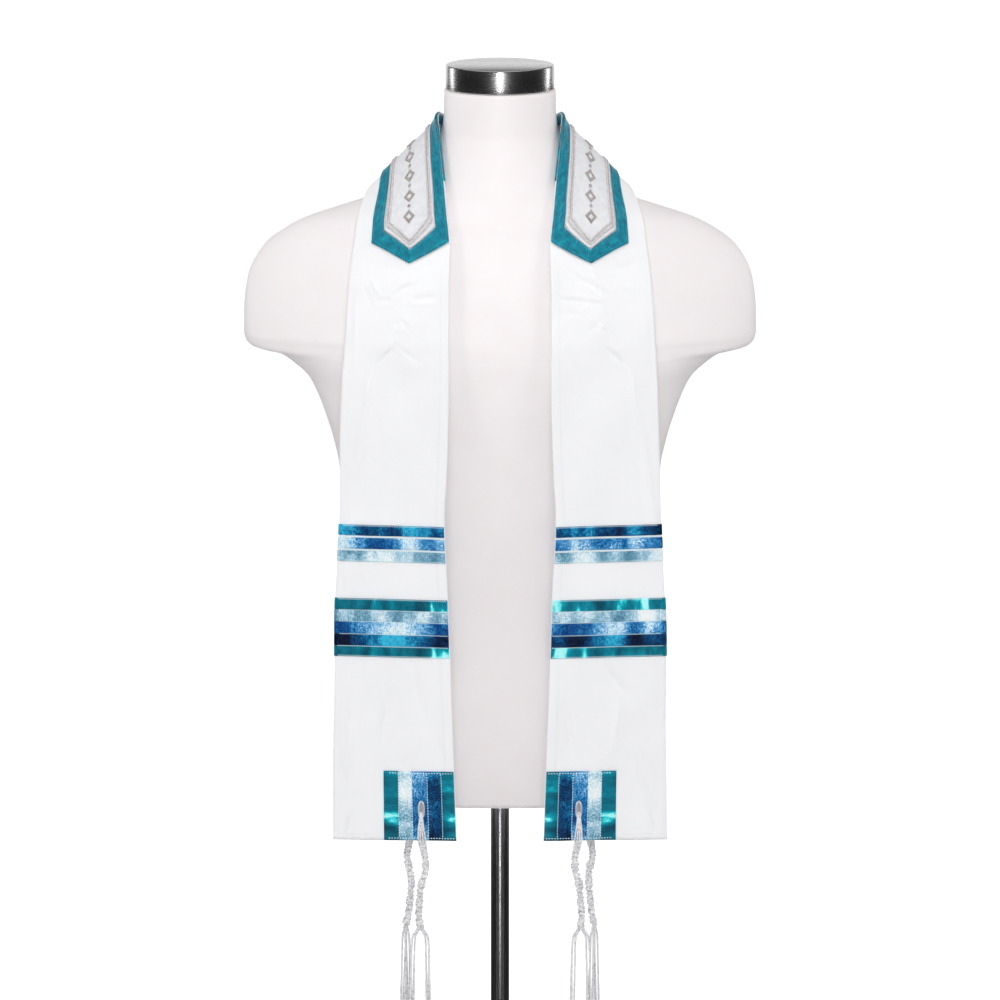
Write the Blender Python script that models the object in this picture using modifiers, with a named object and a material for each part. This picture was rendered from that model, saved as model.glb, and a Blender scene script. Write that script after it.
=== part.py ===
"""Tallit prayer shawl, folded lengthwise into a stole, worn on a limbless dress form.

Metres, +Z up. The origin is the centre of the stand's underside and the front faces -Y.
The shawl is symmetric about the plane x = 0.
"""
import math

import bmesh
import bpy
import numpy as np
from mathutils import Vector
from mathutils.bvhtree import BVHTree

GAP = 0.0003

# Dress form. One row for each horizontal section: front and back are depths from the plane y = 0,
# fullness is how square the section's sides are (1 is an ellipse, less is leaner).
FORM_COLUMNS = ("height", "half_width", "front", "back", "fullness")
FORM_SECTIONS = (
    (0.4000, 0.1500, 0.0930, 0.0850, 1.10),
    (0.4040, 0.1545, 0.0970, 0.0890, 1.10),
    (0.4400, 0.1565, 0.1000, 0.0960, 1.10),
    (0.5000, 0.1560, 0.1010, 0.0980, 1.10),
    (0.5600, 0.1520, 0.0990, 0.0900, 1.10),
    (0.6200, 0.1500, 0.0980, 0.0790, 1.10),
    (0.6800, 0.1525, 0.1010, 0.0770, 1.10),
    (0.7180, 0.1542, 0.1040, 0.0800, 1.12),
    (0.7440, 0.1594, 0.1070, 0.0840, 1.14),
    (0.7690, 0.1670, 0.1100, 0.0880, 1.16),
    (0.7930, 0.1762, 0.1130, 0.0930, 1.18),
    (0.8080, 0.1843, 0.1145, 0.0955, 1.20),
    (0.8190, 0.1958, 0.1155, 0.0975, 1.16),
    (0.8310, 0.2140, 0.1165, 0.0990, 1.06),
    (0.8365, 0.2380, 0.1165, 0.1000, 0.88),
    (0.8425, 0.2440, 0.1165, 0.1010, 0.86),
    (0.8500, 0.2458, 0.1160, 0.1020, 0.90),
    (0.8700, 0.2458, 0.1130, 0.1040, 0.87),
    (0.9040, 0.2420, 0.1060, 0.1030, 0.80),
    (0.9340, 0.2266, 0.0970, 0.0990, 0.68),
    (0.9500, 0.2064, 0.0910, 0.0960, 0.60),
    (0.9610, 0.1850, 0.0870, 0.0940, 0.56),
    (0.9710, 0.1550, 0.0820, 0.0910, 0.56),
    (0.9830, 0.1200, 0.0760, 0.0870, 0.60),
    (1.0000, 0.0940, 0.0680, 0.0810, 0.72),
    (1.0150, 0.0770, 0.0620, 0.0750, 0.85),
    (1.0300, 0.0640, 0.0560, 0.0690, 0.95),
    (1.0450, 0.0560, 0.0510, 0.0620, 1.00),
    (1.0600, 0.0540, 0.0500, 0.0580, 1.00),
    (1.0835, 0.0535, 0.0495, 0.0575, 1.00),
)
FORM_SIDES = 32
NECK_Y = 0.004

# Neck cap and stand.
CAP_RADIUS = 0.0523
CAP_HEIGHT = 0.0235
CAP_EDGE = 0.0015
POLE_RADIUS = 0.0088
BASE_RADIUS = 0.160
BASE_HEIGHT = 0.008
BASE_EDGE = 0.002
BOSS_RADIUS = 0.017
BOSS_HEIGHT = 0.022

# Stole. One row for each section of its right half, from the nape over the shoulder to the hem:
# the inner edge, that lies against the neck, and the outer edge, where the cloth is folded.
STOLE_COLUMNS = ("inner_x", "inner_y", "inner_z", "outer_x", "outer_y", "outer_z")
STOLE_SECTIONS = (
    (0.0000, 0.0700, 1.0460, 0.0000, 0.1040, 0.9400),
    (0.0340, 0.0620, 1.0490, 0.0480, 0.0980, 0.9460),
    (0.0530, 0.0360, 1.0540, 0.0950, 0.0700, 0.9640),
    (0.0575, 0.0020, 1.0570, 0.1240, 0.0080, 0.9900),
    (0.0555, -0.0330, 1.0300, 0.1310, -0.0240, 0.9790),
    (0.0530, -0.0580, 1.0000, 0.1360, -0.0440, 0.9670),
    (0.0505, -0.0800, 0.9720, 0.1390, -0.0580, 0.9550),
    (0.0480, -0.0970, 0.9470, 0.1415, -0.0700, 0.9410),
    (0.0490, -0.1110, 0.9120, 0.1460, -0.0840, 0.9110),
    (0.0490, -0.1190, 0.8620, 0.1490, -0.0965, 0.8620),
    (0.0490, -0.1225, 0.8040, 0.1525, -0.1000, 0.8050),
    (0.0513, -0.1225, 0.7290, 0.1540, -0.1000, 0.7290),
    (0.0534, -0.1215, 0.6830, 0.1549, -0.1000, 0.6830),
    (0.0500, -0.1200, 0.6080, 0.1584, -0.1000, 0.6080),
    (0.0480, -0.1195, 0.5520, 0.1594, -0.1005, 0.5520),
    (0.0415, -0.1190, 0.3720, 0.1608, -0.1010, 0.3710),
)
WALL = 0.0012
HIDDEN_LAYERS = 0.0024
LAYER_GAP = 0.0004
CORNER_GAP = 0.0036
FORM_CLEARANCE = 0.0022
HIDDEN_RECESS = 0.030
BACK_RECESS_NAPE = 0.055
BACK_RECESS_HEM = 0.124
NAPE_STEP = 0.0163
CHEST_STEP = 0.026
CHEST_BOTTOM_Z = 0.805
HANG_HEIGHTS = (0.740, 0.678, 0.6395, 0.607, 0.5475, 0.475)
LOW_HEIGHTS = (0.457, 0.439, 0.4265, 0.414)
COLUMNS = (0.0, 0.13, 0.27, 0.41, 0.55, 0.69, 0.82, 1.0)
FOLD_ANGLES = (45.0, 90.0, 135.0)
RIBBON_BACK_COLUMNS = (0.0, 0.27, 0.55, 1.0)

# Sewn trim. Heights are of the hanging fronts, shares are of the stole's width from its inner edge.
TRIM_WALL = 0.0010
TRIM_GAP = 0.0005
PATCH_GAP = 0.0007
NECKBAND_GAP = 0.0012
END_SPANS = 6
END_MARGIN = 0.001
RIBBON_SEAM = 0.0004
NECKBAND_CORNER_Z = 0.9465
NECKBAND_TIP_Z = 0.9275
NECKBAND_SHARE = 0.82
BORDER_SHARE = 0.13
BORDER_END = 0.013
NECKBAND_SEAM_SHARE = 0.009
NECKBAND_SEAM_END = 0.0009
OUTLINE_SHARE = 0.035
OUTLINE_END = 0.0042
OUTLINE_INSET_SHARE = 0.03
OUTLINE_INSET_END = 0.0035
UPPER_RIBBONS = (
    ("navy", 0.6762, 0.6665),
    ("blue", 0.6635, 0.6538),
    ("silver", 0.6513, 0.6410),
)
LOWER_RIBBONS = (
    ("teal", 0.6054, 0.5943),
    ("silver", 0.5938, 0.5832),
    ("blue", 0.5827, 0.5711),
    ("navy", 0.5706, 0.5595),
    ("teal", 0.5590, 0.5490),
)
PATCH_TOP_Z = LOW_HEIGHTS[1]
PATCH_RIBBONS = (
    ("teal", 0.0000, 0.0115),
    ("navy", 0.0115, 0.0246),
    ("blue", 0.0246, 0.0394),
    ("silver", 0.0394, 0.0519),
    ("teal", 0.0519, 0.0680),
)

# Corner tassels: each hangs by a loop through an eyelet in its patch.
EYELET_FROM_EDGE = 0.0330
EYELET_Z = 0.4020
EYELET_RADIUS = 0.0023
LOOP_RADIUS = 0.0013
LOOP_POINTS = 12
KNOT_RADIUS = 0.0043
WINDING_RADIUS = 0.0033
KNOT_DROPS = (0.000, 0.015, 0.032, 0.051, 0.070)
STEM_TOP_DROP = 0.010
STRAND_RADIUS = 0.0008
STRAND_LENGTH = 0.140
STRANDS = 8
STRAND_POINTS = 5
BUNDLE_SPREAD = 0.0068

# Colour, roughness and metallic value of each material.
FINISHES = {
    "form": ((0.80, 0.78, 0.765, 1.0), 0.62, 0.0),
    "steel": ((0.48, 0.48, 0.49, 1.0), 0.28, 1.0),
    "cloth": ((0.86, 0.87, 0.89, 1.0), 0.85, 0.0),
    "teal": ((0.005, 0.20, 0.32, 1.0), 0.30, 0.4),
    "navy": ((0.01, 0.035, 0.12, 1.0), 0.32, 0.5),
    "blue": ((0.02, 0.13, 0.42, 1.0), 0.32, 0.5),
    "silver": ((0.34, 0.50, 0.62, 1.0), 0.32, 0.6),
    "panel": ((0.78, 0.79, 0.82, 1.0), 0.5, 0.0),
    "braid": ((0.42, 0.41, 0.40, 1.0), 0.4, 0.6),
    "cord": ((0.82, 0.81, 0.78, 1.0), 0.9, 0.0),
}


def clear_scene():
    for scene_object in list(bpy.data.objects):
        bpy.data.objects.remove(scene_object, do_unlink=True)


def new_collection(name):
    collection = bpy.data.collections.new(name)
    bpy.context.scene.collection.children.link(collection)
    return collection


def material(finish):
    made = bpy.data.materials.get(finish)
    if made:
        return made
    colour, roughness, metallic = FINISHES[finish]
    made = bpy.data.materials.new(finish)
    made.use_nodes = True
    shader = made.node_tree.nodes["Principled BSDF"]
    shader.inputs["Base Color"].default_value = colour
    shader.inputs["Roughness"].default_value = roughness
    shader.inputs["Metallic"].default_value = metallic
    return made


def add_object(name, mesh, finish, collection):
    mesh.materials.clear()
    mesh.materials.append(material(finish))
    mesh.shade_smooth()
    mesh.set_sharp_from_angle(angle=math.radians(50))
    added = bpy.data.objects.new(name, mesh)
    collection.objects.link(added)
    return added


def modifier(target, kind, **values):
    added = target.modifiers.new(kind.lower(), kind)
    for key, value in values.items():
        setattr(added, key, value)
    return added


def grid_mesh(name, rows, closed=False):
    """Quads between rows of points; closed joins each row's ends and caps the first and last row."""
    shape = bmesh.new()
    grid = [[shape.verts.new(point) for point in row] for row in rows]
    count = len(rows[0])
    for lower, upper in zip(grid[:-1], grid[1:]):
        for k in range(count if closed else count - 1):
            after = (k + 1) % count
            shape.faces.new((lower[k], lower[after], upper[after], upper[k]))
    if closed:
        shape.faces.new(grid[0])
        shape.faces.new(grid[-1])
    bmesh.ops.recalc_face_normals(shape, faces=shape.faces)
    mesh = bpy.data.meshes.new(name)
    shape.to_mesh(mesh)
    shape.free()
    return mesh


def form_ring(section):
    values = dict(zip(FORM_COLUMNS, section))
    ring = []
    for k in range(FORM_SIDES):
        angle = 2 * math.pi * k / FORM_SIDES
        lean = values["fullness"] + (1 - values["fullness"]) * math.sin(angle) ** 2
        depth = values["back"] if math.sin(angle) > 0 else values["front"]
        ring.append((values["half_width"] * math.cos(angle), depth * math.sin(angle) * lean, values["height"]))
    return ring


def turned(name, profile, finish, collection, centre_y=0.0, sides=20):
    """A profile of (radius, height) points, from the top centre down to the bottom centre, turned round Z."""
    mesh = bpy.data.meshes.new(name)
    mesh.from_pydata([(radius, 0, height) for radius, height in profile],
                     [(k, k + 1) for k in range(len(profile) - 1)], [])
    added = add_object(name, mesh, finish, collection)
    added.location.y = centre_y
    modifier(added, "SCREW", steps=sides, render_steps=sides, use_merge_vertices=True,
             merge_threshold=0.00005, use_smooth_shade=True)
    return added


def make_form(collection):
    body = grid_mesh("form_body", [form_ring(section) for section in FORM_SECTIONS], closed=True)
    add_object("form_body", body, "form", collection)
    neck_top = FORM_SECTIONS[-1][0]
    torso_bottom = FORM_SECTIONS[0][0]
    low = neck_top + GAP
    high = low + CAP_HEIGHT
    turned("neck_cap", (
        (0, high), (CAP_RADIUS - CAP_EDGE, high), (CAP_RADIUS, high - CAP_EDGE),
        (CAP_RADIUS, low + CAP_EDGE), (CAP_RADIUS - CAP_EDGE, low), (0, low),
    ), "steel", collection, NECK_Y)
    turned("stand_base", (
        (0, BASE_HEIGHT + BOSS_HEIGHT), (BOSS_RADIUS - BASE_EDGE, BASE_HEIGHT + BOSS_HEIGHT),
        (BOSS_RADIUS, BASE_HEIGHT + BOSS_HEIGHT - BASE_EDGE), (BOSS_RADIUS, BASE_HEIGHT),
        (BASE_RADIUS - BASE_EDGE, BASE_HEIGHT), (BASE_RADIUS, BASE_HEIGHT - BASE_EDGE),
        (BASE_RADIUS, 0), (0, 0),
    ), "steel", collection, sides=24)
    foot = BASE_HEIGHT + BOSS_HEIGHT + GAP
    turned("stand_pole", (
        (0, torso_bottom - GAP), (POLE_RADIUS, torso_bottom - GAP), (POLE_RADIUS, foot), (0, foot),
    ), "steel", collection, sides=16)
    return body


def smoothstep(low, high, value):
    share = min(max((value - low) / (high - low), 0.0), 1.0)
    return share * share * (3 - 2 * share)


class Stole:
    """The right half of the stole's outer face, draped on the form, as a fine grid to read points from."""

    ROWS = 150
    SPANS = 20

    def __init__(self, form_mesh):
        self.tree = BVHTree.FromPolygons([v.co.copy() for v in form_mesh.vertices],
                                         [tuple(p.vertices) for p in form_mesh.polygons])
        table = np.array(STOLE_SECTIONS)
        mirrored = table[1] * np.array((-1, 1, 1, -1, 1, 1))
        self.table = np.vstack((mirrored, table, 2 * table[-1] - table[-2]))
        ends = np.array([self.section(t) for t in np.linspace(0, len(table) - 1, 600)])
        middle = (ends[:, :3] + ends[:, 3:]) / 2
        run = np.concatenate(((0,), np.cumsum(np.linalg.norm(np.diff(middle, axis=0), axis=1))))
        self.length = run[-1]
        self.along = np.linspace(0, self.length, self.ROWS)
        self.across = np.linspace(0, 1, self.SPANS)
        steps = np.interp(self.along, run, np.linspace(0, len(table) - 1, 600))
        self.points = np.array([self.chord(t) for t in steps])
        for _ in range(6):
            self.normals = self.grid_normals()
            self.push_out()
            self.soften()
        self.normals = self.grid_normals()
        self.push_out()
        self.normals = self.grid_normals()

    def section(self, t):
        """Inner and outer edge at table position t, on a smooth curve through the rows."""
        k = min(int(t), len(STOLE_SECTIONS) - 2)
        f = t - k
        a, b, c, d = self.table[k:k + 4]
        return b + f * ((c - a) / 2 + f * (a - 2.5 * b + 2 * c - d / 2 + f * (1.5 * (b - c) + (d - a) / 2)))

    def chord(self, t):
        inner, outer = np.split(self.section(t), 2)
        inset = self.depth(inner[2], 1.0) / 2
        outer = outer - (outer - inner) / np.linalg.norm(outer - inner) * inset
        return [inner + (outer - inner) * share for share in self.across]

    def gap(self, height, share):
        """Space between the layers, that opens round the tassel loops at the lower inner corner."""
        low = 1 - smoothstep(0.415, 0.470, height)
        near = 1 - smoothstep(0.45, 0.85, share)
        return LAYER_GAP + (CORNER_GAP - LAYER_GAP) * low * near

    def depth(self, height, share):
        """Thickness of the whole folded stack."""
        return 2 * WALL + HIDDEN_LAYERS + 2 * self.gap(height, share)

    def grid_normals(self):
        down = np.gradient(self.points, axis=0)
        down[0] = np.array((1.0, 0.0, 0.0))
        over = np.gradient(self.points, axis=1)
        normals = np.cross(down, over)
        return normals / np.linalg.norm(normals, axis=2, keepdims=True)

    def push_out(self):
        reach = 0.07
        for i in range(self.ROWS):
            for j in range(self.SPANS):
                point = Vector(self.points[i, j])
                normal = Vector(self.normals[i, j])
                hit = self.tree.ray_cast(point + normal * reach, -normal, 2 * reach)[0]
                if hit is None:
                    continue
                wanted = self.depth(point.z, self.across[j]) + FORM_CLEARANCE
                short = wanted - (point - hit).dot(normal)
                if short > 0:
                    self.points[i, j] += np.array(normal) * short

    def soften(self):
        points = self.points
        smooth = points.copy()
        smooth[1:-1] = (points[:-2] + 2 * points[1:-1] + points[2:]) / 4
        smooth[:, 1:-1] = (smooth[:, :-2] + 2 * smooth[:, 1:-1] + smooth[:, 2:]) / 4
        self.points = smooth

    def read(self, grid, along, share):
        i = np.interp(along, self.along, np.arange(self.ROWS))
        j = share * (self.SPANS - 1)
        i0 = min(int(i), self.ROWS - 2)
        j0 = min(int(j), self.SPANS - 2)
        fi = i - i0
        fj = j - j0
        low = grid[i0, j0] * (1 - fj) + grid[i0, j0 + 1] * fj
        high = grid[i0 + 1, j0] * (1 - fj) + grid[i0 + 1, j0 + 1] * fj
        return low * (1 - fi) + high * fi

    def face(self, along, share, offset):
        """Point on the front layer's outer face, moved out by offset; along is negative on the left half."""
        point = self.read(self.points, abs(along), share)
        normal = self.read(self.normals, abs(along), share)
        point = point + normal / np.linalg.norm(normal) * offset
        return Vector((math.copysign(point[0], along) if along else 0.0, point[1], point[2]))

    def back(self, along, share, offset):
        """Point on the back layer's outer face, that faces the form, moved out by offset."""
        height = self.read(self.points, abs(along), share)[2]
        return self.face(along, share, -self.depth(height, share) - offset)

    def fold(self, along, degrees, offset):
        """Point round the outer fold, from the front layer (0) to the back layer (180), moved out."""
        front = self.face(along, 1.0, 0.0)
        back = self.back(along, 1.0, 0.0)
        outward = (front - self.face(along, 0.96, 0.0)).normalized()
        centre = (front + back) / 2
        radius = (front - back).length / 2 + offset
        angle = math.radians(degrees)
        return centre + (front - centre).normalized() * radius * math.cos(angle) + outward * radius * math.sin(angle)

    def wrap(self, along, offset, inner=0.0, back_columns=COLUMNS):
        """One whole section: front layer, outer fold, back layer."""
        row = [self.face(along, max(share, inner), offset) for share in COLUMNS]
        row += [self.fold(along, degrees, offset) for degrees in FOLD_ANGLES]
        row += [self.back(along, max(share, self.back_edge(along)), offset) for share in reversed(back_columns)]
        return row

    def back_edge(self, along):
        share = abs(along) / self.length
        return BACK_RECESS_NAPE + (BACK_RECESS_HEM - BACK_RECESS_NAPE) * smoothstep(0.6, 1.0, share)

    def at_height(self, height, share=0.5):
        """Length from the nape at which the hanging front has this height."""
        heights = [self.read(self.points, run, share)[2] for run in self.along]
        return float(np.interp(-height, [-z for z in heights[20:]], self.along[20:]))


def stations(stole):
    """Sections of the right half: close over the neck and shoulder, wide apart on the hanging front."""
    turn = stole.at_height(NECKBAND_CORNER_Z)
    close = np.linspace(0, turn, max(2, round(turn / NAPE_STEP)) + 1)
    chest_bottom = stole.at_height(CHEST_BOTTOM_Z)
    chest = np.linspace(turn, chest_bottom, round((chest_bottom - turn) / CHEST_STEP) + 1)
    hang = [stole.at_height(height) for height in HANG_HEIGHTS + LOW_HEIGHTS]
    return list(close) + list(chest[1:]) + hang + [stole.length]


def both_halves(values):
    return [-value for value in reversed(values) if value] + list(values)


def wall(name, rows, finish, collection, thickness, outwards):
    mesh = grid_mesh(name, rows)
    added = add_object(name, mesh, finish, collection)
    normal = sum((p.normal * p.area for p in mesh.polygons if p.index < len(rows[0]) // 2), Vector())
    if normal.dot(outwards) < 0:
        mesh.flip_normals()
    modifier(added, "SOLIDIFY", thickness=abs(thickness), offset=math.copysign(1.0, thickness),
             use_even_offset=True)
    return added


def make_cloth(stole, collection):
    sections = both_halves(stations(stole))
    rows = [stole.wrap(along, 0.0) for along in sections]
    outwards = Vector((0, -1, 0))
    cloth = wall("shawl_cloth", rows, "cloth", collection, -WALL, outwards)
    hidden = []
    for along in sections:
        inset = WALL + LAYER_GAP
        front = []
        back = []
        for share in COLUMNS:
            share = max(share, HIDDEN_RECESS)
            height = stole.face(along, share, 0.0).z
            near = WALL + stole.gap(height, share)
            front.append(stole.face(along, share, -near))
            back.append(stole.back(along, share, -near))
        round_end = [stole.fold(along, 90.0, -inset)]
        notch = stole.face(along, HIDDEN_RECESS + 0.02, 0.0) - stole.face(along, HIDDEN_RECESS, 0.0)
        middle = (front[0] + back[0]) / 2 + notch
        hidden.append(front + round_end + back[::-1] + [middle])
    add_object("shawl_hidden_layers", grid_mesh("shawl_hidden_layers", hidden, closed=True), "cloth", collection)
    return cloth


def end_outline(stole, share, low, high, end_inset):
    """Length from the nape where the neckband's pointed end lies, at a share of the width."""
    corner = stole.at_height(NECKBAND_CORNER_Z) - end_inset
    tip = stole.at_height(NECKBAND_TIP_Z) - end_inset
    middle = (low + high) / 2
    return tip + (corner - tip) * abs(share - middle) / (high - low) * 2


def hexagon(stole, inset_share, end_inset):
    """Closed outline of the neckband, moved in from its edges, as (along, share) pairs."""
    low = inset_share
    high = NECKBAND_SHARE - inset_share
    corner = stole.at_height(NECKBAND_CORNER_Z)
    runs = [along for along in stations(stole) if along < corner - BORDER_END - END_MARGIN]
    side = both_halves(runs)
    shares = [low + (high - low) * k / END_SPANS for k in range(END_SPANS + 1)]
    ends = [(share, end_outline(stole, share, low, high, end_inset)) for share in shares]
    outline = [(along, low) for along in side]
    outline += [(along, share) for share, along in ends]
    outline += [(along, high) for along in reversed(side)]
    outline += [(-along, share) for share, along in reversed(ends)]
    return outline


def make_frame(name, stole, outer, inner, lift, thickness, finish, collection):
    """A flat band of cloth between two outlines of the neckband."""
    rows = []
    for (a0, s0), (a1, s1) in zip(outer, inner):
        rows.append((stole.face(a0, s0, lift), stole.face(a1, s1, lift)))
    rows.append(rows[0])
    mesh = grid_mesh(name, rows)
    welded = bmesh.new()
    welded.from_mesh(mesh)
    bmesh.ops.remove_doubles(welded, verts=welded.verts, dist=0.00001)
    bmesh.ops.recalc_face_normals(welded, faces=welded.faces)
    welded.to_mesh(mesh)
    welded.free()
    added = add_object(name, mesh, finish, collection)
    top = max(mesh.polygons, key=lambda p: p.center.z)
    if top.normal.z < 0:
        mesh.flip_normals()
    modifier(added, "SOLIDIFY", thickness=thickness, offset=1.0, use_even_offset=True)
    return added


def make_neckband(stole, collection):
    make_frame("neckband_border", stole, hexagon(stole, 0.003, 0.0), hexagon(stole, BORDER_SHARE, BORDER_END),
               NECKBAND_GAP, TRIM_WALL, "teal", collection)
    low = BORDER_SHARE + NECKBAND_SEAM_SHARE
    high = NECKBAND_SHARE - low
    inset = BORDER_END + NECKBAND_SEAM_END
    shares = [low] + [share for share in COLUMNS if low < share < high - 0.01] + [high]
    corner = stole.at_height(NECKBAND_CORNER_Z) - BORDER_END - END_MARGIN
    runs = [along for along in stations(stole) if along < corner]
    rows = []
    for share in shares:
        end = end_outline(stole, share, low, high, inset)
        rows.append([stole.face(along, share, NECKBAND_GAP) for along in both_halves(runs + [(runs[-1] + end) / 2, end])])
    panel = grid_mesh("neckband_panel", rows)
    added = add_object("neckband_panel", panel, "panel", collection)
    top = max(panel.polygons, key=lambda p: p.center.z)
    if top.normal.z < 0:
        panel.flip_normals()
    modifier(added, "SOLIDIFY", thickness=TRIM_WALL, offset=1.0, use_even_offset=True)
    share = BORDER_SHARE + OUTLINE_INSET_SHARE
    end = BORDER_END + OUTLINE_INSET_END
    make_frame("neckband_outline", stole, hexagon(stole, share, end),
               hexagon(stole, share + OUTLINE_SHARE, end + OUTLINE_END),
               NECKBAND_GAP + TRIM_WALL + PATCH_GAP, TRIM_WALL, "braid", collection)


def make_ribbons(stole, collection):
    for side, sign in (("left", -1), ("right", 1)):
        for place, ribbons in (("upper", UPPER_RIBBONS), ("lower", LOWER_RIBBONS)):
            for number, (colour, top, bottom) in enumerate(ribbons, 1):
                high = stole.at_height(top) * sign
                low = stole.at_height(bottom) * sign
                rows = [stole.wrap(along, TRIM_GAP, 0.004, RIBBON_BACK_COLUMNS) for along in (high, low)]
                wall(f"ribbon_{place}_{number}_{side}", rows, colour, collection, TRIM_WALL, Vector((0, -1, 0)))


def make_patches(stole, eyelets, collection):
    high = stole.at_height(PATCH_TOP_Z) - 0.0001
    low = stole.length - 0.0005
    runs = [along for along in stations(stole)[:-1] if along > high] + [low]
    width = (stole.face(low, 1.0, 0.0) - stole.face(low, 0.0, 0.0)).length
    for side, sign in (("left", -1), ("right", 1)):
        for layer, read, edge in (("front", stole.face, 0.004), ("back", stole.back, BACK_RECESS_HEM)):
            for number, (colour, start, stop) in enumerate(PATCH_RIBBONS, 1):
                shares = [edge + (start + RIBBON_SEAM / 2) / width, edge + (stop - RIBBON_SEAM / 2) / width]
                shares[1:1] = [share for share in COLUMNS if shares[0] + 0.01 < share < shares[1] - 0.01]
                rows = [[read(along * sign, share, PATCH_GAP) for share in shares] for along in runs]
                outwards = Vector((0, -1, 0)) if layer == "front" else Vector((0, 1, 0))
                patch = wall(f"corner_{layer}_{side}_{number}", rows, colour, collection, TRIM_WALL, outwards)
                if start < EYELET_FROM_EDGE < stop:
                    cut(patch, eyelets[side, layer])


def cut(target, cutter):
    modifier(target, "BOOLEAN", operation="DIFFERENCE", object=cutter, solver="EXACT")


def make_eyelets(stole, collection):
    """Cutters of the tassel holes, one through each layer that carries a tassel."""
    made = {}
    width = (stole.face(stole.length, 1.0, 0.0) - stole.face(stole.length, 0.0, 0.0)).length
    along = stole.at_height(EYELET_Z)
    for side, sign in (("left", -1), ("right", 1)):
        for layer, read, edge in (("front", stole.face, 0.004), ("back", stole.back, BACK_RECESS_HEM)):
            share = edge + EYELET_FROM_EDGE / width
            outer = read(along * sign, share, 0.0035)
            inner = read(along * sign, share, -WALL - 0.0012)
            bpy.ops.mesh.primitive_cylinder_add(vertices=8, radius=EYELET_RADIUS, depth=(outer - inner).length)
            cutter = bpy.context.object
            cutter.name = f"eyelet_{layer}_{side}"
            cutter.location = (outer + inner) / 2
            cutter.rotation_euler = (outer - inner).to_track_quat("Z", "Y").to_euler()
            cutter.display_type = "WIRE"
            cutter.hide_render = True
            for holder in list(cutter.users_collection):
                holder.objects.unlink(cutter)
            collection.objects.link(cutter)
            made[side, layer] = cutter
    return made


def tube(name, points, radii, resolution):
    """A closed tube mesh along points, from a round-bevelled curve with filled caps."""
    curve = bpy.data.curves.new(name, "CURVE")
    curve.dimensions = "3D"
    curve.bevel_depth = 1.0
    curve.bevel_resolution = resolution
    curve.use_fill_caps = True
    spline = curve.splines.new("POLY")
    spline.points.add(len(points) - 1)
    for spot, point, radius in zip(spline.points, points, radii):
        spot.co = (*point, 1.0)
        spot.radius = radius
    holder = bpy.data.objects.new(name, curve)
    bpy.context.scene.collection.objects.link(holder)
    mesh = bpy.data.meshes.new_from_object(holder.evaluated_get(bpy.context.evaluated_depsgraph_get()))
    bpy.data.objects.remove(holder, do_unlink=True)
    bpy.data.curves.remove(curve)
    shape = bmesh.new()
    shape.from_mesh(mesh)
    bmesh.ops.remove_doubles(shape, verts=shape.verts, dist=0.00002)
    bmesh.ops.recalc_face_normals(shape, faces=shape.faces)
    shape.to_mesh(mesh)
    shape.free()
    return mesh


def bend(points, count):
    """Points read evenly from a smooth curve through a few chosen points."""
    knots = [Vector(p) for p in points]
    knots = [2 * knots[0] - knots[1], *knots, 2 * knots[-1] - knots[-2]]
    spans = len(points) - 1
    smooth = []
    for n in range(count):
        t = n * spans / (count - 1)
        k = min(int(t), spans - 1)
        f = t - k
        a, b, c, d = knots[k:k + 4]
        smooth.append(b + f * ((c - a) / 2 + f * (a - 2.5 * b + 2 * c - d / 2 + f * (1.5 * (b - c) + (d - a) / 2))))
    return smooth


def tassel_loop(stole, sign, share, read, hem):
    """The loop that goes from the top knot through the eyelet and back."""
    along = stole.at_height(EYELET_Z) * sign
    knee = stole.length * sign
    out = LOOP_RADIUS + TRIM_WALL + PATCH_GAP + GAP
    behind = -WALL - LOOP_RADIUS - GAP
    seat = EYELET_RADIUS - LOOP_RADIUS - GAP
    hole = read(along, share, 0.0) - Vector((0, 0, seat))
    across = read(along, share, 1.0) - read(along, share, 0.0)
    apart = across * LOOP_RADIUS * 1.3
    return bend((
        hem + apart, read(knee, share, out) - Vector((0, 0, 0.001)), read(along, share, out) - Vector((0, 0, 0.004)),
        hole + across * (out * 0.8), hole, hole + across * behind * 0.8,
        read(along, share, behind) - Vector((0, 0, 0.004)), read(knee, share, behind) - Vector((0, 0, 0.001)),
        hem - apart,
    ), LOOP_POINTS)


def make_tassels(stole, collection):
    width = (stole.face(stole.length, 1.0, 0.0) - stole.face(stole.length, 0.0, 0.0)).length
    for side, sign in (("left", -1), ("right", 1)):
        for layer, read, edge in (("front", stole.face, 0.004), ("back", stole.back, BACK_RECESS_HEM)):
            share = edge + EYELET_FROM_EDGE / width
            name = f"tassel_{layer}_{side}"
            knee = read(stole.length * sign, share, -WALL / 2)
            top = knee - Vector((0, 0, STEM_TOP_DROP))
            stem = []
            radii = []
            for drop, after in zip(KNOT_DROPS, KNOT_DROPS[1:] + (None,)):
                for shift, radius in ((-0.0045, WINDING_RADIUS), (-0.0025, KNOT_RADIUS), (0.0025, KNOT_RADIUS)):
                    sway = 0.0012 * math.sin(90 * (drop + shift) + sign + (layer == "back"))
                    stem.append(top + Vector((sign * (0.04 * drop + sway), 0, -drop - shift)))
                    radii.append(radius)
                if after is None:
                    stem.append(stem[-1] - Vector((0, 0, 0.002)))
                    radii.append(WINDING_RADIUS)
            head = add_object(name, tube(name, stem, radii, 1), "cord", collection)
            joined = [tube("loop", tassel_loop(stole, sign, share, read, stem[1]), [LOOP_RADIUS] * LOOP_POINTS, 1)]
            joined += [tube("strand", points, [STRAND_RADIUS] * len(points), 0)
                       for points in strand_paths(stem[-1], sign, layer)]
            fuse(head, joined)


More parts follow.
